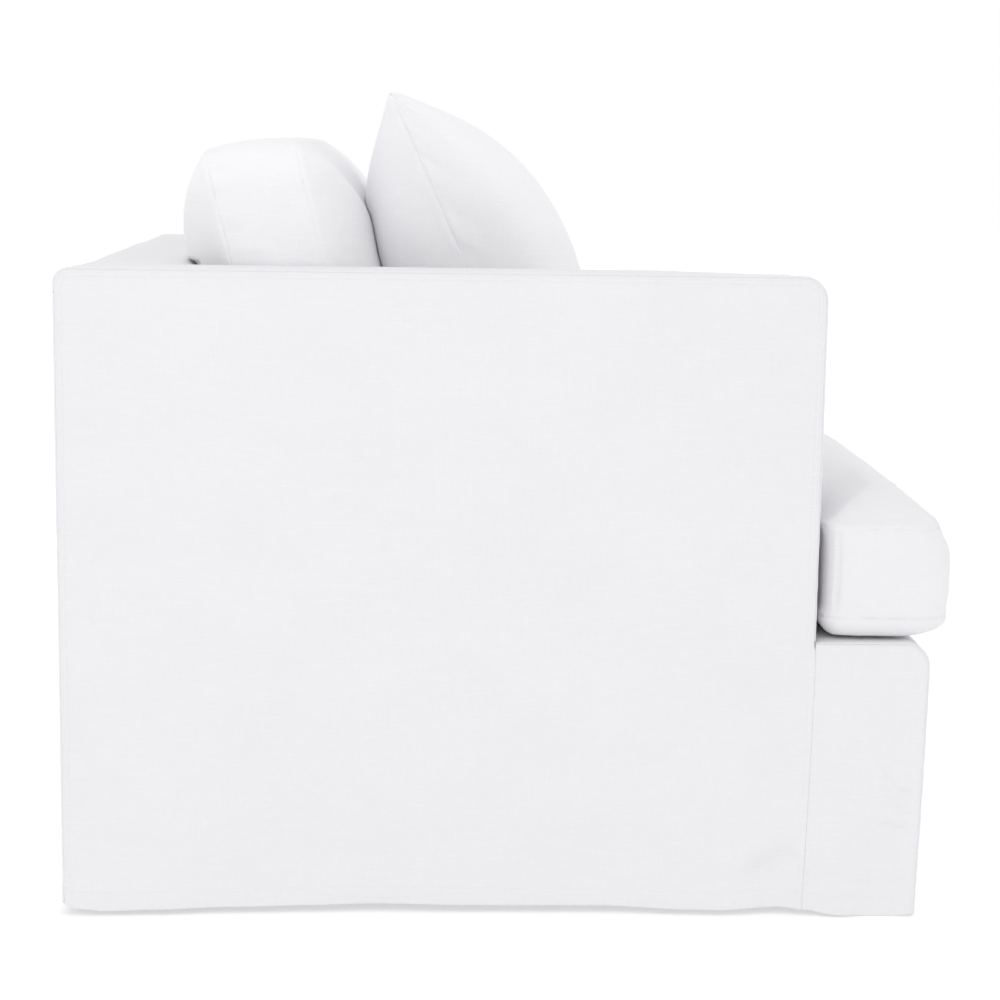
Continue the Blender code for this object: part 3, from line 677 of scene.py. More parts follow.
def deck(pitch, seed):
    rear, low = BACK_THICKNESS + SEAM_GAP, ARM_INNER_X - CLOTH
    width, long = HALF - low, ARM_REACH - rear
    columns = grid_lines(width, [0.0], ROLLED, pitch)
    rows = grid_lines(long, [0.0], [0.0], pitch)

    def surface(u, v):
        from_end = width - u
        sag = smooth((u - 0.01) / 0.06) * smooth((from_end - 0.02) / 0.06)
        sag = sag * smooth((v - 0.01) / 0.06) * smooth((long - v - 0.01) / 0.06)
        dip = sag * (0.002 + 0.0010 * swell(u, v, 0.14, 0.14, seed))
        z = DECK_HEIGHT - roll_depth(from_end) + turned_in(from_end, 0.009) * 0.5 - dip
        return world(*hang(low + u, rear + v, z))

    cloth_sheet("deck", surface(*np.meshgrid(columns, rows)), (0, 0, 1), (width, long))


FRONT_CREASES = (
    (0.030, 0.300, 0.130, 0.230, 0.008, 0.014, -0.0016),
    (0.920, 0.300, 0.820, 0.220, -0.008, 0.014, -0.0016),
    (0.230, 0.200, 0.215, 0.030, 0.008, 0.020, 0.0018),
    (0.395, 0.150, 0.400, 0.028, -0.004, 0.018, -0.0014),
    (0.560, 0.210, 0.570, 0.030, 0.006, 0.022, 0.0016),
    (0.700, 0.170, 0.715, 0.028, 0.006, 0.016, -0.0014),
    (0.840, 0.140, 0.820, 0.028, -0.006, 0.016, 0.0012),
    (0.100, 0.110, 0.150, 0.026, 0.006, 0.016, -0.0012),
)


def skirt_front(pitch, seed):
    shoulder = DECK_HEIGHT - CORNER_R
    front = SKIRT_REACH - CORNER_R
    hem = grid_lines(shoulder, HEM_LINES, [0.0], pitch)
    stations = profile(
        [(SKIRT_REACH, z, 1, 0) for z in hem],
        bend((front, shoulder), 0, 90),
        straight((front, DECK_HEIGHT), (ARM_REACH + SEAM_GAP, DECK_HEIGHT), pitch, (0, 1)),
    )
    across = grid_lines(WIDTH, ROLLED, ROLLED, pitch)

    def surface(u, reach, z, out_reach, out_z, run):
        edge = np.minimum(u, WIDTH - u)
        relief = ALLOWANCE * smooth((0.009 - edge) / 0.003) + hemmed(run, u, seed + 3)
        relief += 0.0004 * ripple(run, 0.008, seed) * bell(edge, 0.010)
        loose = slack(u, run, seed, (0.0014, 0.16, 0.13), (0.0005, 0.07, 0.05))
        relief += smooth((edge - 0.010) / 0.04) * (loose + creased(FRONT_CREASES, u, run))
        under_seat = smooth((run - 0.30) / 0.03)
        relief = relief * (1 - under_seat) + np.minimum(relief, 0) * under_seat
        depth = roll_depth(edge) - relief * smooth((edge - ROLL_START) / 0.002)
        return world(*hang(u - HALF, reach - out_reach * depth, z - out_z * depth))

    points = strip_points(stations, across, surface)
    cloth_sheet("skirt_front", points, (0, -1, 1), (WIDTH, run_of(stations)[-1]))

    def foot(u, height):
        one = np.ones(len(u))
        return surface(u, SKIRT_REACH * one, height, one, 0 * one, height)

    stitch_hem("front", foot, WIDTH, (0, -1, 0))


# ---------------------------------------------------------------- stitches

STITCH_PITCH = 0.0042
STITCH_LENGTH = 0.0031
STITCH_WIDE = 0.00085
STITCH_HIGH = 0.00040


def resample(points, pitch):
    steps = np.linalg.norm(np.diff(points, axis=0), axis=1)
    run = np.concatenate(([0.0], np.cumsum(steps)))
    at = np.arange(pitch / 2, run[-1], pitch)
    return np.stack([np.interp(at, run, points[:, k]) for k in range(3)], axis=-1)


def sew(group, lines):
    """One mesh of all the stitches of a group: each is a short thread with pointed ends."""
    vertices, faces = [], []
    rings = [(along, across, 1 - abs(across)) for along in (-0.6, 0.6) for across in (-1, 0, 1)]
    shape = [(-1.0, 0, -0.3), *rings, (1.0, 0, -0.3)]
    sides = ((0, 1, 2), (0, 2, 3), (1, 4, 5), (1, 5, 2), (2, 5, 6), (2, 6, 3), (7, 5, 4), (7, 6, 5))
    for points, outward in lines:
        centres = resample(points, STITCH_PITCH)
        tangent = np.gradient(centres, axis=0)
        tangent /= np.linalg.norm(tangent, axis=1)[:, None]
        normal = outward - tangent * (tangent @ outward)[:, None]
        normal /= np.linalg.norm(normal, axis=1)[:, None]
        binormal = np.cross(normal, tangent)
        for k in range(len(centres)):
            base = len(vertices)
            for t, b, n in shape:
                vertices.append(
                    centres[k]
                    + tangent[k] * t * STITCH_LENGTH / 2
                    + binormal[k] * b * STITCH_WIDE / 2
                    + normal[k] * n * STITCH_HIGH
                )
            faces += [tuple(base + corner for corner in side) for side in sides]
    mesh = bpy.data.meshes.new(group + "_stitches")
    mesh.from_pydata([tuple(v) for v in vertices], [], faces)
    mesh.update()
    mesh.shade_smooth()
    mesh.materials.append(THREAD)
    thing = link(group + "_stitches", mesh)
    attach(thing, "root")
    return thing


# ---------------------------------------------------------------- materials


def set_inputs(node, values):
    for name, value in values.items():
        node.inputs[name].default_value = value


def map_range(tree, value, low, high, to_low=0.0, to_high=1.0, kind="LINEAR"):
    """A node that takes values from low..high to to_low..to_high."""
    node = tree.nodes.new("ShaderNodeMapRange")
    node.interpolation_type = kind
    set_inputs(node, {"From Min": low, "From Max": high, "To Min": to_low, "To Max": to_high})
    tree.links.new(value, node.inputs["Value"])
    return node.outputs["Result"]


def linen(name, colour):
    """Plain-woven linen whose threads follow the object's own axes on every side of it."""
    material = bpy.data.materials.new(name)
    material.use_nodes = True
    tree = material.node_tree
    nodes, links = tree.nodes, tree.links
    shader = nodes["Principled BSDF"]
    gloss = {"Metallic": 0.0, "Specular IOR Level": 0.25, "Sheen Weight": 0.15, "Sheen Roughness": 0.5}
    set_inputs(shader, gloss)
    where = nodes.new("ShaderNodeTexCoord")

    def math_node(operation, a, b):
        node = nodes.new("ShaderNodeMath")
        node.operation = operation
        for socket, value in zip(node.inputs, (a, b)):
            if isinstance(value, float):
                socket.default_value = value
            else:
                links.new(value, socket)
        return node.outputs[0]

    def weighted(*parts):
        """The sum of values, each times its weight."""
        total = None
        for value, weight in parts:
            part = math_node("MULTIPLY", value, weight)
            total = math_node("ADD", total, part) if total else part
        return total

    def stepped(value, low, high):
        return map_range(tree, value, low, high, kind="SMOOTHSTEP")

    split = nodes.new("ShaderNodeSeparateXYZ")
    links.new(where.outputs["Normal"], split.inputs[0])
    upward = math_node("GREATER_THAN", math_node("ABSOLUTE", split.outputs["Z"], 0.0), 0.70)

    def threads(upright, lying, detail=0.0):
        """Noise stretched along threads, one way on upright cloth and another on cloth that lies."""
        scale = nodes.new("ShaderNodeMix")
        scale.data_type = "VECTOR"
        scale.inputs[4].default_value = upright
        scale.inputs[5].default_value = lying
        links.new(upward, scale.inputs[0])
        product = nodes.new("ShaderNodeVectorMath")
        product.operation = "MULTIPLY"
        links.new(where.outputs["Object"], product.inputs[0])
        links.new(scale.outputs[1], product.inputs[1])
        noise = nodes.new("ShaderNodeTexNoise")
        set_inputs(noise, {"Scale": 1.0, "Detail": detail})
        links.new(product.outputs[0], noise.inputs["Vector"])
        return noise.outputs["Fac"]

    weft = threads((85, 85, 1250), (85, 1250, 1250), 1.0)
    warp = threads((1250, 1250, 85), (1250, 85, 85), 1.0)
    slub = threads((34, 34, 640), (34, 640, 640))
    cross_slub = threads((640, 640, 40), (640, 40, 40))
    long_slub = threads((13, 13, 420), (13, 420, 420), 1.0)
    cloud = threads((9, 9, 14), (9, 9, 14), 1.0)

    weave = math_node("ADD", weft, warp)
    thick = stepped(slub, 0.56, 0.78)
    thick_cross = stepped(cross_slub, 0.58, 0.80)
    thick_long = stepped(long_slub, 0.56, 0.76)
    height = weighted((weave, 0.60), (thick, 0.35), (thick_cross, 0.22), (thick_long, 0.22))

    bump = nodes.new("ShaderNodeBump")
    set_inputs(bump, {"Strength": 0.45, "Distance": 0.0003})
    links.new(height, bump.inputs["Height"])
    links.new(bump.outputs["Normal"], shader.inputs["Normal"])

    tone = weighted((weave, 0.36), (thick, 0.14), (thick_long, 0.12), (thick_cross, 0.12), (cloud, 0.26))
    ramp = nodes.new("ShaderNodeValToRGB")
    for element, position, share in zip(ramp.color_ramp.elements, (0.20, 0.90), (0.952, 1.022)):
        element.position = position
        element.color = (*(min(channel * share, 0.95) for channel in colour), 1)
    links.new(tone, ramp.inputs["Fac"])
    links.new(ramp.outputs["Color"], shader.inputs["Base Color"])
    links.new(map_range(tree, height, 0.0, 1.0, 0.95, 0.80), shader.inputs["Roughness"])
    return material


PANEL_LINEN = linen("panel_linen", (0.806, 0.803, 0.820))
# The back cushion and pillow wear the same linen as the panels, mixed lighter here: painted light that
# makes up for the shade the cushions sit in.
CUSHION_LINEN_PAINTED_LIGHT = linen("cushion_linen", (0.885, 0.879, 0.900))
# The seat cushion's linen is the same cloth again, mixed darker and a little pinker: painted shade,
# standing in for the faintly pink shade on the seat cushion.
SEAT_LINEN_PAINTED_SHADE = linen("seat_linen_painted_shade", (0.822, 0.811, 0.834))
THREAD = linen("sewing_thread", (0.83, 0.828, 0.845))


# ---------------------------------------------------------------- cushions

SEAT_BAND = (0.353, 0.454)
SEAT_BOTTOM = DECK_HEIGHT + 0.0005
SEAT_CROWN = 0.0520
SEAT_CROWN_RUN = 0.130
SEAT_CROWN_POWER = 0.660
SEAT_UNDERSIDE_RUN = 0.014
SEAT_UNDERSIDE_LIFT = 0.007
SEAT_FRONT = 1.0115
SEAT_FRONT_BULGE = 0.0098
SEAT_SIDES = (-0.3215, 0.471)
EAR_SIDE = -0.471
EAR_BACK = ARM_REACH + 0.005
SEAT_CORNER_R = 0.030
SEAT_BACK = BACK_THICKNESS + 0.0005
SEAT_PLAN_FRONT = 0.998
SEAT_TOP_DRAWN_IN = 0.0165
SEAT_FOOT_DRAWN_IN = 0.0048
SEAT_SWELL = 0.003

BACK_SIZE = (0.786, 0.410)
BACK_MIDDLE = 0.076
BACK_BAND = 0.105
BACK_CROWN = (0.0615, 0.0614)
BACK_CROWN_RUN = 0.131
BACK_CROWN_POWER = 0.80
BACK_TOP_CROWN = 0.003
BACK_TOP_SLANT = 0.0148
BACK_CORNER_R = 0.042
BACK_TOP = (0.2003, 0.8765)
BACK_LEAN = math.radians(14.0)

PILLOW_SIZE = 0.5094
PILLOW_CROWN = (0.1229, 0.136)
PILLOW_FILL = 0.1985
PILLOW_UPRIGHT_FILL = (0.781, 0.686)
PILLOW_DRAWN_IN = 0.022
PILLOW_CORNER_R = 0.0166
PILLOW_TOP = (0.3624, 0.9376)
PILLOW_LEAN = math.radians(24.5)

SEAM_SINK = 0.0011
SEAM_HALF_WIDTH = 0.0013
PUCKER = 0.0008
PUCKER_PITCH = 0.012
PUCKER_REACH = 0.020

# The simulation: how much smaller the cloth starts, its pressure, and how far a point may move.
SHRINK = 0.003
PRESSURE = 4.0
MOVE_CAP = 0.0035
FRAMES = 20

OFF_BACK = 0.0022
OVER_BACK_FROM = 0.010
OVER_BACK_GAP = 0.0016


def dome(edge, run, power):
    """0 at a seam, steep there, and 1 from run inwards."""
    inward = np.clip(edge / run, 0.0, 1.0)
    return (1 - (1 - inward) ** 2) ** power


def corner_round(x, y, centre_x, centre_y, radius, where):
    """Moves points of a square corner, at or beyond the centre both ways, onto quarter circles."""
    a, b = x - centre_x, y - centre_y
    ring = np.maximum(np.abs(a), np.abs(b))
    size = np.hypot(a, b)
    inside = where & (size > 1e-9) & (ring <= radius + 1e-6)
    size = np.maximum(size, 1e-9)
    return np.where(inside, centre_x + a * ring / size, x), np.where(inside, centre_y + b * ring / size, y)


def seat_edge(x, reach):
    """How far inside the L-shaped outline a point of the seat cushion lies."""
    beside_arm, open_side = SEAT_SIDES
    ear = np.minimum(x - EAR_SIDE, reach - EAR_BACK)
    ends = np.minimum(np.minimum(SEAT_PLAN_FRONT - reach, reach - SEAT_BACK), open_side - x)
    return np.maximum(np.minimum(ends, np.maximum(x - beside_arm, ear)), 0.0)


SEAT_CORNERS = (
    # x and reach of the corner, and the way out of it
    (EAR_SIDE, SEAT_PLAN_FRONT, -1, 1),
    (EAR_SIDE, EAR_BACK, -1, -1),
    (SEAT_SIDES[1], SEAT_PLAN_FRONT, 1, 1),
    (SEAT_SIDES[1], SEAT_BACK, 1, -1),
)


def seat_shape(x, reach, level):
    edge = seat_edge(x, reach)
    for corner_x, corner_reach, out_x, out_reach in SEAT_CORNERS:
        centre_x = corner_x - out_x * SEAT_CORNER_R
        centre_reach = corner_reach - out_reach * SEAT_CORNER_R
        there = (out_x * (x - centre_x) > 0) & (out_reach * (reach - centre_reach) > 0)
        x, reach = corner_round(x, reach, centre_x, centre_reach, SEAT_CORNER_R, there)
    low_seam, high_seam = SEAT_BAND
    behind = SEAT_PLAN_FRONT - reach
    bow = SEAT_FRONT_BULGE * np.maximum(1 - (x / EAR_SIDE) ** 2, 0.0) * (1 - smooth((behind - 0.02) / 0.28))
    drawn_in = SEAT_TOP_DRAWN_IN * np.clip((level - 0.66) / 0.34, 0.0, 1.0) ** 1.8
    drawn_in = drawn_in + SEAT_FOOT_DRAWN_IN * np.clip((0.25 - level) / 0.25, 0.0, 1.0) ** 1.6
    bow = bow + (SEAT_FRONT - SEAT_PLAN_FRONT - drawn_in) * (1 - smooth((behind - 0.02) / 0.05))
    top = level > 1 - 1e-6
    bottom = level < 1e-6
    z = low_seam + (high_seam - low_seam) * level
    z = np.where(top, high_seam + SEAT_CROWN * dome(edge, SEAT_CROWN_RUN, SEAT_CROWN_POWER), z)
    lift = SEAT_UNDERSIDE_LIFT * (1 - smooth((behind - 0.008) / 0.040))
    below = (low_seam - SEAT_BOTTOM - lift) * dome(edge, SEAT_UNDERSIDE_RUN, 0.55)
    z = np.where(bottom, low_seam - below, z)
    swelled = np.copysign(SEAT_SWELL, x) * np.sin(math.pi * level) * smooth((np.abs(x) - 0.40) / 0.06)
    x = np.where(top | bottom, x, x + swelled)
    return world(x, reach + bow, z)


def leaning(top, lean, middle):
    """Axes and origin of a leaning cushion's own frame: across, up from its top, forward."""
    reach, z = top
    axes = np.array(
        ((1, 0, 0), (0, math.sin(lean), math.cos(lean)), (0, -math.cos(lean), math.sin(lean)))
    )
    return axes, world(middle, reach, z)


BACK_FRAME = leaning(BACK_TOP, BACK_LEAN, BACK_MIDDLE)
PILLOW_FRAME = leaning(PILLOW_TOP, PILLOW_LEAN, 0.0)


def placed(frame_of, x, up, forward):
    axes, origin = frame_of
    return origin + np.stack((x, up, forward), axis=-1) @ axes


def back_edge(x, up):
    half, height = BACK_SIZE[0] / 2, BACK_SIZE[1]
    return np.maximum(np.minimum(np.minimum(half - np.abs(x), up + height), -up), 0.0)


def back_shape(x, up, level):
    half, height = BACK_SIZE[0] / 2, BACK_SIZE[1]
    edge = back_edge(x, up)
    centre_x = np.copysign(half - BACK_CORNER_R, x)
    for centre_up, beyond in ((-BACK_CORNER_R, 1), (-height + BACK_CORNER_R, -1)):
        there = (np.abs(x) > np.abs(centre_x)) & (beyond * (up - centre_up) > 0)
        x, up = corner_round(x, up, centre_x, centre_up, BACK_CORNER_R, there)
    rear, front = BACK_CROWN
    near_top = smooth((up + 0.16) / 0.16)
    up = up + near_top * BACK_TOP_CROWN * np.maximum(1 - (x / half) ** 2, 0.0)
    up = up - near_top * BACK_TOP_SLANT * level
    bulge = 0.006 * np.sin(math.pi * level)
    top = level > 1 - 1e-6
    bottom = level < 1e-6
    crown = np.where(top, front, np.where(bottom, -rear, 0.0))
    crown = crown * dome(edge, BACK_CROWN_RUN, BACK_CROWN_POWER)
    forward = (level - 0.5) * BACK_BAND + crown
    wall = ~top & ~bottom
    x = np.where(wall, x + np.copysign(bulge, x) * smooth((np.abs(x) - half + 0.05) / 0.04), x)
    up = np.where(wall, up + bulge * smooth((up + 0.05) / 0.04), up)
    return placed(BACK_FRAME, x, up, forward)


def pillow_shape(x, up, level):
    """x is spread so that its lines are as far apart on the full sides as on the faces."""
    half = PILLOW_SIZE / 2
    v = (up + half) / half
    fill = np.maximum(1 - (x / half) ** 2, 0.0)
    u = np.copysign(np.sqrt(np.maximum(1 - fill ** (1 / PILLOW_FILL), 0.0)), x)
    x = u * half
    from_middle = half - PILLOW_CORNER_R
    there = (np.abs(x) > from_middle) & (np.abs(up + half) > from_middle)
    centre_x, centre_up = np.copysign(from_middle, x), np.copysign(from_middle, up + half)
    x, round_up = corner_round(x, up + half, centre_x, centre_up, PILLOW_CORNER_R, there)
    round_u, round_v = x / half, round_up / half
    pull = PILLOW_DRAWN_IN / half
    across = round_u * (1 - pull * (1 - v * v) * np.abs(u))
    tall = round_v * (1 - pull * (1 - u * u) * np.abs(v))
    rear, front = (
        crown * fill * np.maximum(1 - v * v, 0.0) ** power
        for crown, power in zip(PILLOW_CROWN, PILLOW_UPRIGHT_FILL)
    )
    forward = np.where(level > 0.5, front, -rear)
    return placed(PILLOW_FRAME, across * half, tall * half - half, forward)


def boxed(name, columns, rows, keeps, cuts):
    """A closed mesh over the kept cells of a plan. A vertex's z is its level, 0 below and 1 on top."""
    mesh = bmesh.new()
    wide, tall = len(columns) - 1, len(rows) - 1
    bmesh.ops.create_grid(mesh, x_segments=wide, y_segments=tall, size=0.5)
    for vertex in mesh.verts:
        column = round((vertex.co.x + 0.5) * wide)
        row = round((vertex.co.y + 0.5) * tall)
        vertex.co = (columns[column], rows[row], 0.0)
    unwanted = [face for face in mesh.faces if not keeps(*face.calc_center_median()[:2])]
    bmesh.ops.delete(mesh, geom=unwanted, context="FACES")
    extruded = bmesh.ops.extrude_face_region(mesh, geom=mesh.faces[:])
    raised = [item for item in extruded["geom"] if isinstance(item, bmesh.types.BMVert)]
    bmesh.ops.translate(mesh, verts=raised, vec=(0, 0, 1))
    if cuts:
        walls = [edge for edge in mesh.edges if abs(edge.verts[0].co.z - edge.verts[1].co.z) > 0.5]
        bmesh.ops.subdivide_edges(mesh, edges=walls, cuts=cuts, use_grid_fill=True)
        for vertex in mesh.verts:
            from_seam = 2 * min(vertex.co.z, 1 - vertex.co.z)
            level = from_seam**2 / 2
            vertex.co.z = level if vertex.co.z < 0.5 else 1 - level
    bmesh.ops.recalc_face_normals(mesh, faces=mesh.faces[:])
    data = bpy.data.meshes.new(name)
    mesh.to_mesh(data)
    mesh.free()
    return data


def vectors(items, attribute):
    flat = np.empty(len(items) * 3, dtype=np.float32)
    items.foreach_get(attribute, flat)
    return flat.reshape(-1, 3).astype(float)


def coords(mesh):
    return vectors(mesh.vertices, "co")


def set_coords(mesh, points):
    mesh.vertices.foreach_set("co", np.ascontiguousarray(points).ravel())
    mesh.update()


def normals(mesh):
    return vectors(mesh.vertex_normals, "vector")


def fix_facing(mesh):
    work = bmesh.new()
    work.from_mesh(mesh)
    if work.calc_volume(signed=True) < 0:
        bmesh.ops.reverse_faces(work, faces=work.faces[:])
        work.to_mesh(mesh)
    work.free()
    mesh.update()


def mirrored(lines):
    return [-line for line in reversed(lines)] + list(lines)


def fill_lines(marks, pitch):
    """Lines through all the marks, with the gaps between them filled evenly."""
    marks = sorted(marks)
    lines = [marks[0]]
    for low, high in zip(marks, marks[1:]):
        count = max(int(round((high - low) / pitch)), 1)
        lines += [low + (high - low) * i / count for i in range(1, count + 1)]
    return lines


def inflate(thing, pins):
    """Blows a cushion up with the cloth solver and keeps each point close to where its pattern has it."""
    mesh = thing.data
    target = coords(mesh)
    set_coords(mesh, target - normals(mesh) * SHRINK * (1 - pins)[:, None])
    group = thing.vertex_groups.new(name="sewn")
    for level in range(1, 5):
        chosen = np.nonzero(np.round(pins * 4).astype(int) == level)[0]
        if len(chosen):
            group.add(chosen.tolist(), level / 4, "REPLACE")
    cloth = thing.modifiers.new("inflate", "CLOTH")
    settings = cloth.settings
    settings.quality = 5
    settings.mass = 0.3
    settings.use_pressure = True
    settings.uniform_pressure_force = PRESSURE
    settings.tension_stiffness = 18
    settings.compression_stiffness = 12
    settings.shear_stiffness = 6
    settings.bending_stiffness = 0.4
    settings.effector_weights.gravity = 0
    settings.vertex_group_mass = "sewn"
    settings.pin_stiffness = 1.0
    cloth.collision_settings.use_collision = False
    cloth.point_cache.frame_start = 1
    cloth.point_cache.frame_end = FRAMES
    scene = bpy.context.scene
    for step in range(1, FRAMES + 1):
        scene.frame_set(step)
    graph = bpy.context.evaluated_depsgraph_get()
    blown = coords(thing.evaluated_get(graph).data)
    thing.modifiers.remove(cloth)
    scene.frame_set(1)
    move = blown - target
    free = (1 - pins) * np.isfinite(move).all(axis=1)
    outward = normals(mesh)
    loss = (np.nan_to_num((move * outward).sum(axis=1)) * free).sum() / free.sum()
    move = move - outward * (loss * free)[:, None]
    size = np.linalg.norm(move, axis=1)[:, None]
    held = np.where(np.isfinite(size), MOVE_CAP * np.tanh(size / MOVE_CAP) / np.maximum(size, 1e-9), 0.0)
    set_coords(mesh, target + np.nan_to_num(move) * held)


def subdivided(thing):
    """Applies one smooth subdivision, carrying each vertex's place on the plan along."""
    level = thing.modifiers.new("finer", "SUBSURF")
    level.levels = 1
    level.render_levels = 1
    level.boundary_smooth = "ALL"
    graph = bpy.context.evaluated_depsgraph_get()
    finer = bpy.data.meshes.new_from_object(thing.evaluated_get(graph))
    thing.modifiers.clear()
    thing.data = finer
    return finer


def seam_distance(points, on_seam):
    """How far each point of a cushion is from its nearest seam."""
    tree = KDTree(int(on_seam.sum()))
    for index in np.nonzero(on_seam)[0]:
        tree.insert(points[index], int(index))
    tree.balance()
    return np.array([tree.find(point)[2] for point in points])


def seam_groove(edge, run, seed):
    """How far the cloth beside a cushion's seam stands out: sunk at the seam, puckered away from it."""
    out = -SEAM_SINK * (1 + 0.5 * ripple(run, 0.009, seed + 2)) * bell(edge, SEAM_HALF_WIDTH)
    out += 0.0004 * bell(edge - 0.006, 0.004)
    waves = ripple(run, PUCKER_PITCH, seed) + 0.6 * ripple(run + 0.5 * edge, PUCKER_PITCH * 2.3, seed + 1)
    return out + PUCKER * waves * smooth(edge / 0.004) * bell(edge - 0.004, PUCKER_REACH)


NEAR_SEAM = [0.0, 0.0006, 0.0020, 0.0050, 0.0095, 0.0160, 0.0240]


def seat_cushion():
    near = NEAR_SEAM
    beside_arm, open_side = SEAT_SIDES
    columns = [EAR_SIDE + step for step in near + [SEAT_CORNER_R]]
    columns += [beside_arm - 0.012] + [beside_arm + step for step in near]
    columns += [open_side - step for step in near + [SEAT_CORNER_R]]
    columns = fill_lines(columns, 0.0115)
    rows = [SEAT_BACK + step for step in near + [SEAT_CORNER_R]] + [EAR_BACK + step for step in near]
    rows += [EAR_BACK - 0.012, EAR_BACK + SEAT_CORNER_R]
    rows += [SEAT_PLAN_FRONT - step for step in near + [SEAT_CORNER_R]]
    rows = fill_lines(rows, 0.0115)

    def keeps(x, reach):
        return x > beside_arm or reach > EAR_BACK

    mesh = boxed("seat_cushion_cloth", columns, rows, keeps, 13)
    return finish_cushion("seat_cushion", mesh, seat_shape, seat_edge, SEAT_BAND[1] - SEAT_BAND[0], 51)


def back_cushion():
    half, height = BACK_SIZE[0] / 2, BACK_SIZE[1]
    near = NEAR_SEAM + [BACK_CORNER_R]
    columns = fill_lines(mirrored([half - step for step in near]), 0.0105)
    rows = fill_lines([-height + step for step in near] + [-step for step in near], 0.0105)
    mesh = boxed("back_cushion_cloth", columns, rows, lambda x, up: True, 13)
    return finish_cushion("back_cushion", mesh, back_shape, back_edge, BACK_BAND, 61)


def pillow_edge(x, up):
    half = PILLOW_SIZE / 2
    return np.maximum(np.minimum(half - np.abs(x), half - np.abs(up + half)), 0.0)


def pillow():
    half = PILLOW_SIZE / 2
    columns = fill_lines(mirrored([half - step for step in NEAR_SEAM]), 0.0075)
    rows = mirrored([half - step for step in [0.0, 0.0003] + NEAR_SEAM[1:]])
    rows = [line - half for line in fill_lines(rows, 0.0090)]
    mesh = boxed("pillow_cloth", columns, rows, lambda x, up: True, 0)
    work = bmesh.new()
    work.from_mesh(mesh)
    for vertex in work.verts:
        if pillow_edge(vertex.co.x, vertex.co.y) < 1e-6:
            vertex.co.z = 0.5
    bmesh.ops.remove_doubles(work, verts=work.verts[:], dist=0.00001)
    work.to_mesh(mesh)
    work.free()
    return finish_cushion("pillow", mesh, pillow_shape, pillow_edge, 0.0, 71)


# Creases on top of the seat cushion, and on the front of the back cushion and of the pillow: across and
# reach, or across and up from the top edge, then as for the panels.
CUSHION_CREASES = {
    "seat_cushion": (
        (-0.300, 0.300, -0.080, 0.560, 0.030, 0.030, -0.0028),
        (0.120, 0.240, 0.300, 0.600, -0.030, 0.034, -0.0026),
        (-0.260, 0.880, 0.040, 0.830, 0.010, 0.024, -0.0020),
        (0.180, 0.950, 0.420, 0.820, -0.020, 0.028, -0.0020),
        (-0.455, 0.985, -0.370, 0.900, 0.006, 0.012, -0.0012),
        (-0.440, 0.905, -0.330, 0.930, 0.004, 0.010, 0.0010),
    ),
    "back_cushion": (
        (-0.310, -0.030, -0.230, -0.110, 0.010, 0.016, -0.0018),
        (-0.300, -0.200, -0.120, -0.150, 0.014, 0.026, -0.0022),
        (0.360, -0.020, 0.220, -0.130, -0.016, 0.022, -0.0024),
        (0.100, -0.060, 0.160, -0.260, 0.020, 0.030, -0.0022),
        (0.340, -0.370, 0.180, -0.260, 0.012, 0.026, -0.0022),
    ),
    "pillow": (
        (-0.200, -0.050, -0.060, -0.150, 0.010, 0.016, -0.0024),
        (0.210, -0.050, 0.080, -0.160, -0.012, 0.018, -0.0024),
        (-0.210, -0.450, -0.070, -0.330, -0.010, 0.020, -0.0022),
        (0.200, -0.460, 0.060, -0.340, 0.012, 0.020, -0.0022),
        (-0.160, -0.230, -0.020, -0.270, 0.012, 0.024, 0.0016),
        (0.030, -0.200, 0.170, -0.270, 0.010, 0.022, -0.0018),
    ),
}


# The same on the band at the arm's side: reach, or up from the top edge, and height on the band.
BAND_CREASES = {
    "seat_cushion": (
        (0.871, -0.010, 0.875, 0.110, 0.001, 0.0040, -0.0022),
        (0.880, 0.070, 0.935, 0.090, 0.003, 0.0080, 0.0010),
        (0.985, 0.060, 0.945, 0.030, 0.003, 0.0080, -0.0010),
    ),
    "back_cushion": (
        (-0.020, 0.030, -0.032, -0.010, 0.002, 0.0040, -0.0014),
        (-0.050, 0.028, -0.058, -0.010, 0.002, 0.0040, -0.0012),
        (-0.100, 0.030, -0.096, -0.010, 0.002, 0.0045, -0.0014),
        (-0.130, 0.060, -0.118, 0.000, 0.003, 0.0050, 0.0012),
        (-0.060, 0.100, -0.150, 0.050, 0.006, 0.0110, -0.0010),
    ),
}


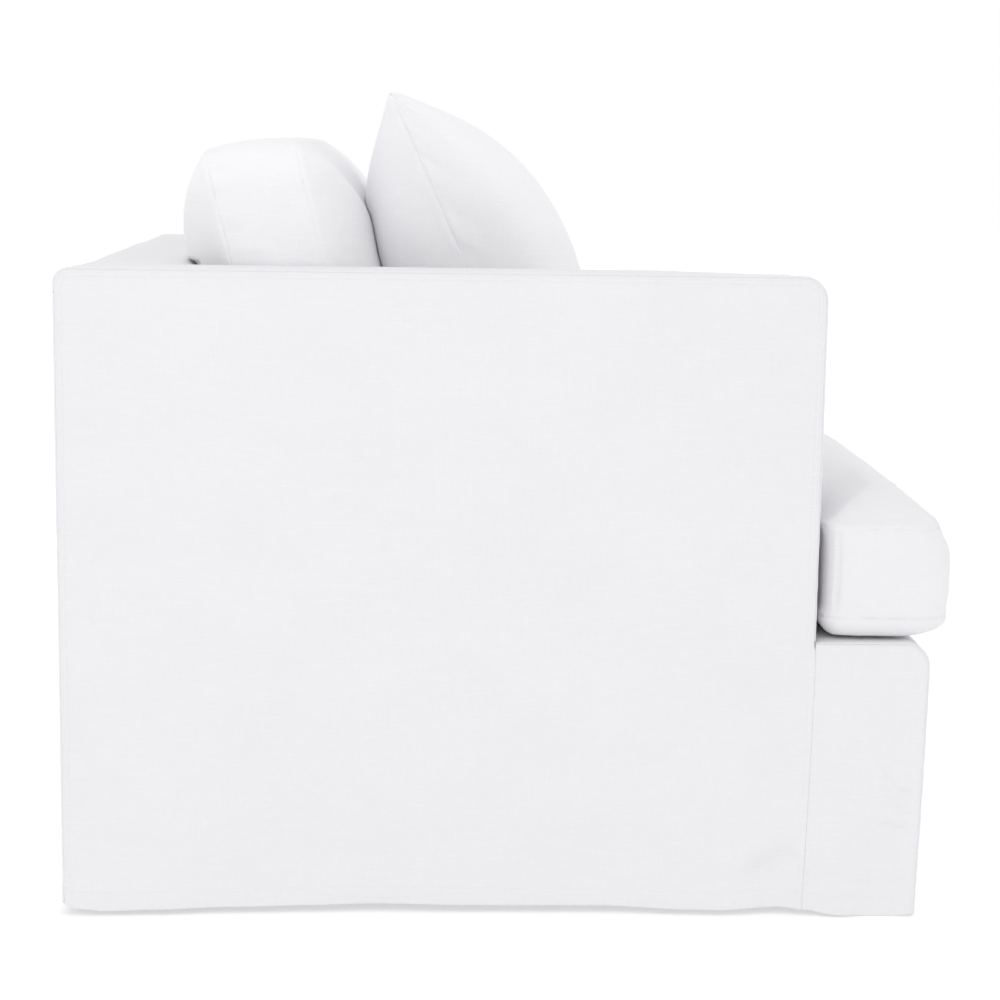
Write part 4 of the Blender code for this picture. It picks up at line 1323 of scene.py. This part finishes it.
def finish_cushion(node, mesh, shape, edge_of, band, seed):
    """Places a cushion's pattern, inflates it, smooths it once and sews its seams."""
    plan = coords(mesh)
    kept = mesh.attributes.new("plan", "FLOAT_VECTOR", "POINT")
    kept.data.foreach_set("vector", plan.ravel())
    set_coords(mesh, shape(plan[:, 0], plan[:, 1], plan[:, 2]))
    fix_facing(mesh)
    mesh.shade_smooth()
    thing = link(node + "_linen", mesh)
    edge = edge_of(plan[:, 0], plan[:, 1])
    seam = 1 - smooth(edge / 0.012)
    if band:
        from_seam = np.minimum(plan[:, 2], 1 - plan[:, 2]) * band
        seam = seam * (1 - smooth(from_seam / 0.012))
    inflate(thing, seam)
    finer = subdivided(thing)
    x, y, level = vectors(finer.attributes["plan"].data, "vector").T
    finer.attributes.remove(finer.attributes["plan"])
    edge = edge_of(x, y)
    on_face = (level < 1e-5) | (level > 1 - 1e-5)
    points = coords(finer)
    distance = seam_distance(points, (edge < 1e-5) & (on_face if band else True))
    out = seam_groove(distance, x + y, seed)
    out += smooth((distance - 0.004) / 0.04) * 0.0016 * swell(x, y, 0.10, 0.08, seed + 5)
    out += smooth(distance / 0.010) * np.where(level > 0.5, creased(CUSHION_CREASES[node], x, y), 0.0)
    near_wall = ~on_face & (x < 0) & (edge < 1e-5)
    out += np.where(near_wall, creased(BAND_CREASES.get(node, ()), y, level * band), 0.0)
    set_coords(finer, points + normals(finer) * out[:, None])
    finer.materials.clear()
    # The cushions get the two copies of the linen that carry painted light: lighter for the back cushion
    # and pillow, darker and pinker painted shade for the seat.
    finer.materials.append(SEAT_LINEN_PAINTED_SHADE if node == "seat_cushion" else CUSHION_LINEN_PAINTED_LIGHT)
    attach(thing, "root")
    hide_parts(node)
    return thing


# ---------------------------------------------------------------- resting on each other


def tree_of(thing):
    bpy.context.view_layer.update()
    return BVHTree.FromObject(thing, bpy.context.evaluated_depsgraph_get())


def squash(thing, onto, direction, gap):
    """Presses a cushion flat where it would pass into what it rests on, which lies along direction."""
    tree = tree_of(onto)
    toward = Vector(direction)
    points = coords(thing.data)
    for index, point in enumerate(points):
        start = Vector(point) - 2 * toward
        hit = tree.ray_cast(start, toward)[0]
        if hit is None:
            continue
        past = (Vector(point) - hit).dot(toward) + gap
        if past > 0:
            points[index] -= past * np.array(direction)
    set_coords(thing.data, points)


def squash_clear(thing, onto, direction):
    gap = 0.0006
    for _ in range(8):
        squash(thing, onto, direction, gap)
        if not tree_of(thing).overlap(tree_of(onto)):
            return
        gap += 0.0005


def keep_off_back(thing):
    """Flattens the back cushion's rear against the back, and lets it lie over the back's top edge."""
    points = coords(thing.data)
    behind = points[:, 1] > BACK_Y - BACK_THICKNESS - OFF_BACK
    low = points[:, 2] < ARM_HEIGHT - OVER_BACK_FROM
    points[behind & low, 1] = BACK_Y - BACK_THICKNESS - OFF_BACK
    points[behind & ~low, 2] = np.maximum(points[behind & ~low, 2], ARM_HEIGHT + OVER_BACK_GAP)
    set_coords(thing.data, points)


# ---------------------------------------------------------------- all of it

end_panel(-1, ARM_REACH, "outside_arm", "right", 0.0046, RIGHT_SIDE_CREASES, 11)
end_panel(1, BACK_THICKNESS, "back_end", "left", 0.0080, BACK_END_CREASES, 21)
skirt_side(-1, ARM_REACH, "skirt_side_right", "right", 0.0035, SKIRT_RIGHT_CREASES, 31)
skirt_side(1, BACK_THICKNESS, "skirt_side_left", "left", 0.0075, SKIRT_LEFT_CREASES, 35)
arm_strip(0.0055, 41)
inside_arm(0.011, 81)
outside_back(0.0085, 91)
back_top(0.0070, 95)
inside_back(0.011, 97)
deck(0.020, 99)
skirt_front(0.0080, 101)
for group_name, group_lines in STITCHES.items():
    sew(group_name, group_lines)

seat = seat_cushion()
back = back_cushion()
throw = pillow()
keep_off_back(back)
squash_clear(back, seat, (0, 0, -1))
squash_clear(throw, seat, (0, 0, -1))
squash_clear(throw, back, (0, 1, 0))
squash_clear(throw, seat, (0, 0, -1))

# ---------------------------------------------------------------- floor, light, camera


def pale_floor():
    mesh = bpy.data.meshes.new("floor")
    size = 14.0
    mesh.from_pydata(
        [(-size, -size, 0), (size, -size, 0), (size, size, 0), (-size, size, 0)], [], [(0, 1, 2, 3)]
    )
    material = bpy.data.materials.new("pale_floor")
    material.use_nodes = True
    shader = material.node_tree.nodes["Principled BSDF"]
    set_inputs(shader, {"Base Color": (0.60, 0.60, 0.60, 1), "Roughness": 0.9, "Specular IOR Level": 0.0})
    set_inputs(shader, {"Emission Color": (1.0, 1.0, 1.0, 1), "Emission Strength": 0.47})
    mesh.materials.append(material)
    thing = link("floor", mesh)
    thing.location.z = -0.0005


def area_light(name, place, target, size, power):
    data = bpy.data.lights.new(name, "AREA")
    data.shape = "RECTANGLE"
    data.size, data.size_y = size
    data.energy = power
    thing = bpy.data.objects.new(name, data)
    bpy.context.scene.collection.objects.link(thing)
    thing.location = place
    thing.rotation_mode = "QUATERNION"
    thing.rotation_quaternion = (Vector(target) - Vector(place)).to_track_quat("-Z", "Y")


def daylight(around, overhead):
    """Even light from a white surround that is a little dimmer overhead."""
    background = bpy.data.worlds.new("studio")
    background.use_nodes = True
    tree = background.node_tree
    shade = tree.nodes["Background"]
    set_inputs(shade, {"Color": (1.0, 1.0, 1.0, 1)})
    direction = tree.nodes.new("ShaderNodeTexCoord")
    split = tree.nodes.new("ShaderNodeSeparateXYZ")
    tree.links.new(direction.outputs["Generated"], split.inputs[0])
    fall = map_range(tree, split.outputs["Z"], 0.15, 1.0, around, overhead)
    tree.links.new(fall, shade.inputs["Strength"])
    bpy.context.scene.world = background


CAMERA_LENS = 80.57
CAMERA_PLACE = (-2.937, 0.105, 0.882)
CAMERA_YAW, CAMERA_PITCH, CAMERA_ROLL = (math.radians(turn) for turn in (2.06, 9.16, 0.84))


def camera():
    yaw, pitch, roll = CAMERA_YAW, CAMERA_PITCH, CAMERA_ROLL
    forward = Vector((math.cos(pitch) * math.cos(yaw), -math.cos(pitch) * math.sin(yaw), -math.sin(pitch)))
    right = Vector((-math.sin(yaw), -math.cos(yaw), 0))
    up = right.cross(forward)
    turned_right = math.cos(roll) * right + math.sin(roll) * up
    turned_up = -math.sin(roll) * right + math.cos(roll) * up
    data = bpy.data.cameras.new("camera")
    data.sensor_width = 36
    data.lens = CAMERA_LENS
    data.clip_start, data.clip_end = 0.05, 60
    thing = bpy.data.objects.new("camera", data)
    bpy.context.scene.collection.objects.link(thing)
    matrix = Matrix((turned_right, turned_up, -forward)).transposed().to_4x4()
    matrix.translation = CAMERA_PLACE
    thing.matrix_world = matrix
    bpy.context.scene.camera = thing


pale_floor()
daylight(1.000, 0.97)
area_light("camera_side_light", (-2.3, 0.7, 2.2), (-0.35, 0, 0.6), (1.6, 1.6), 7)
camera()
bpy.context.scene.view_settings.view_transform = "Standard"
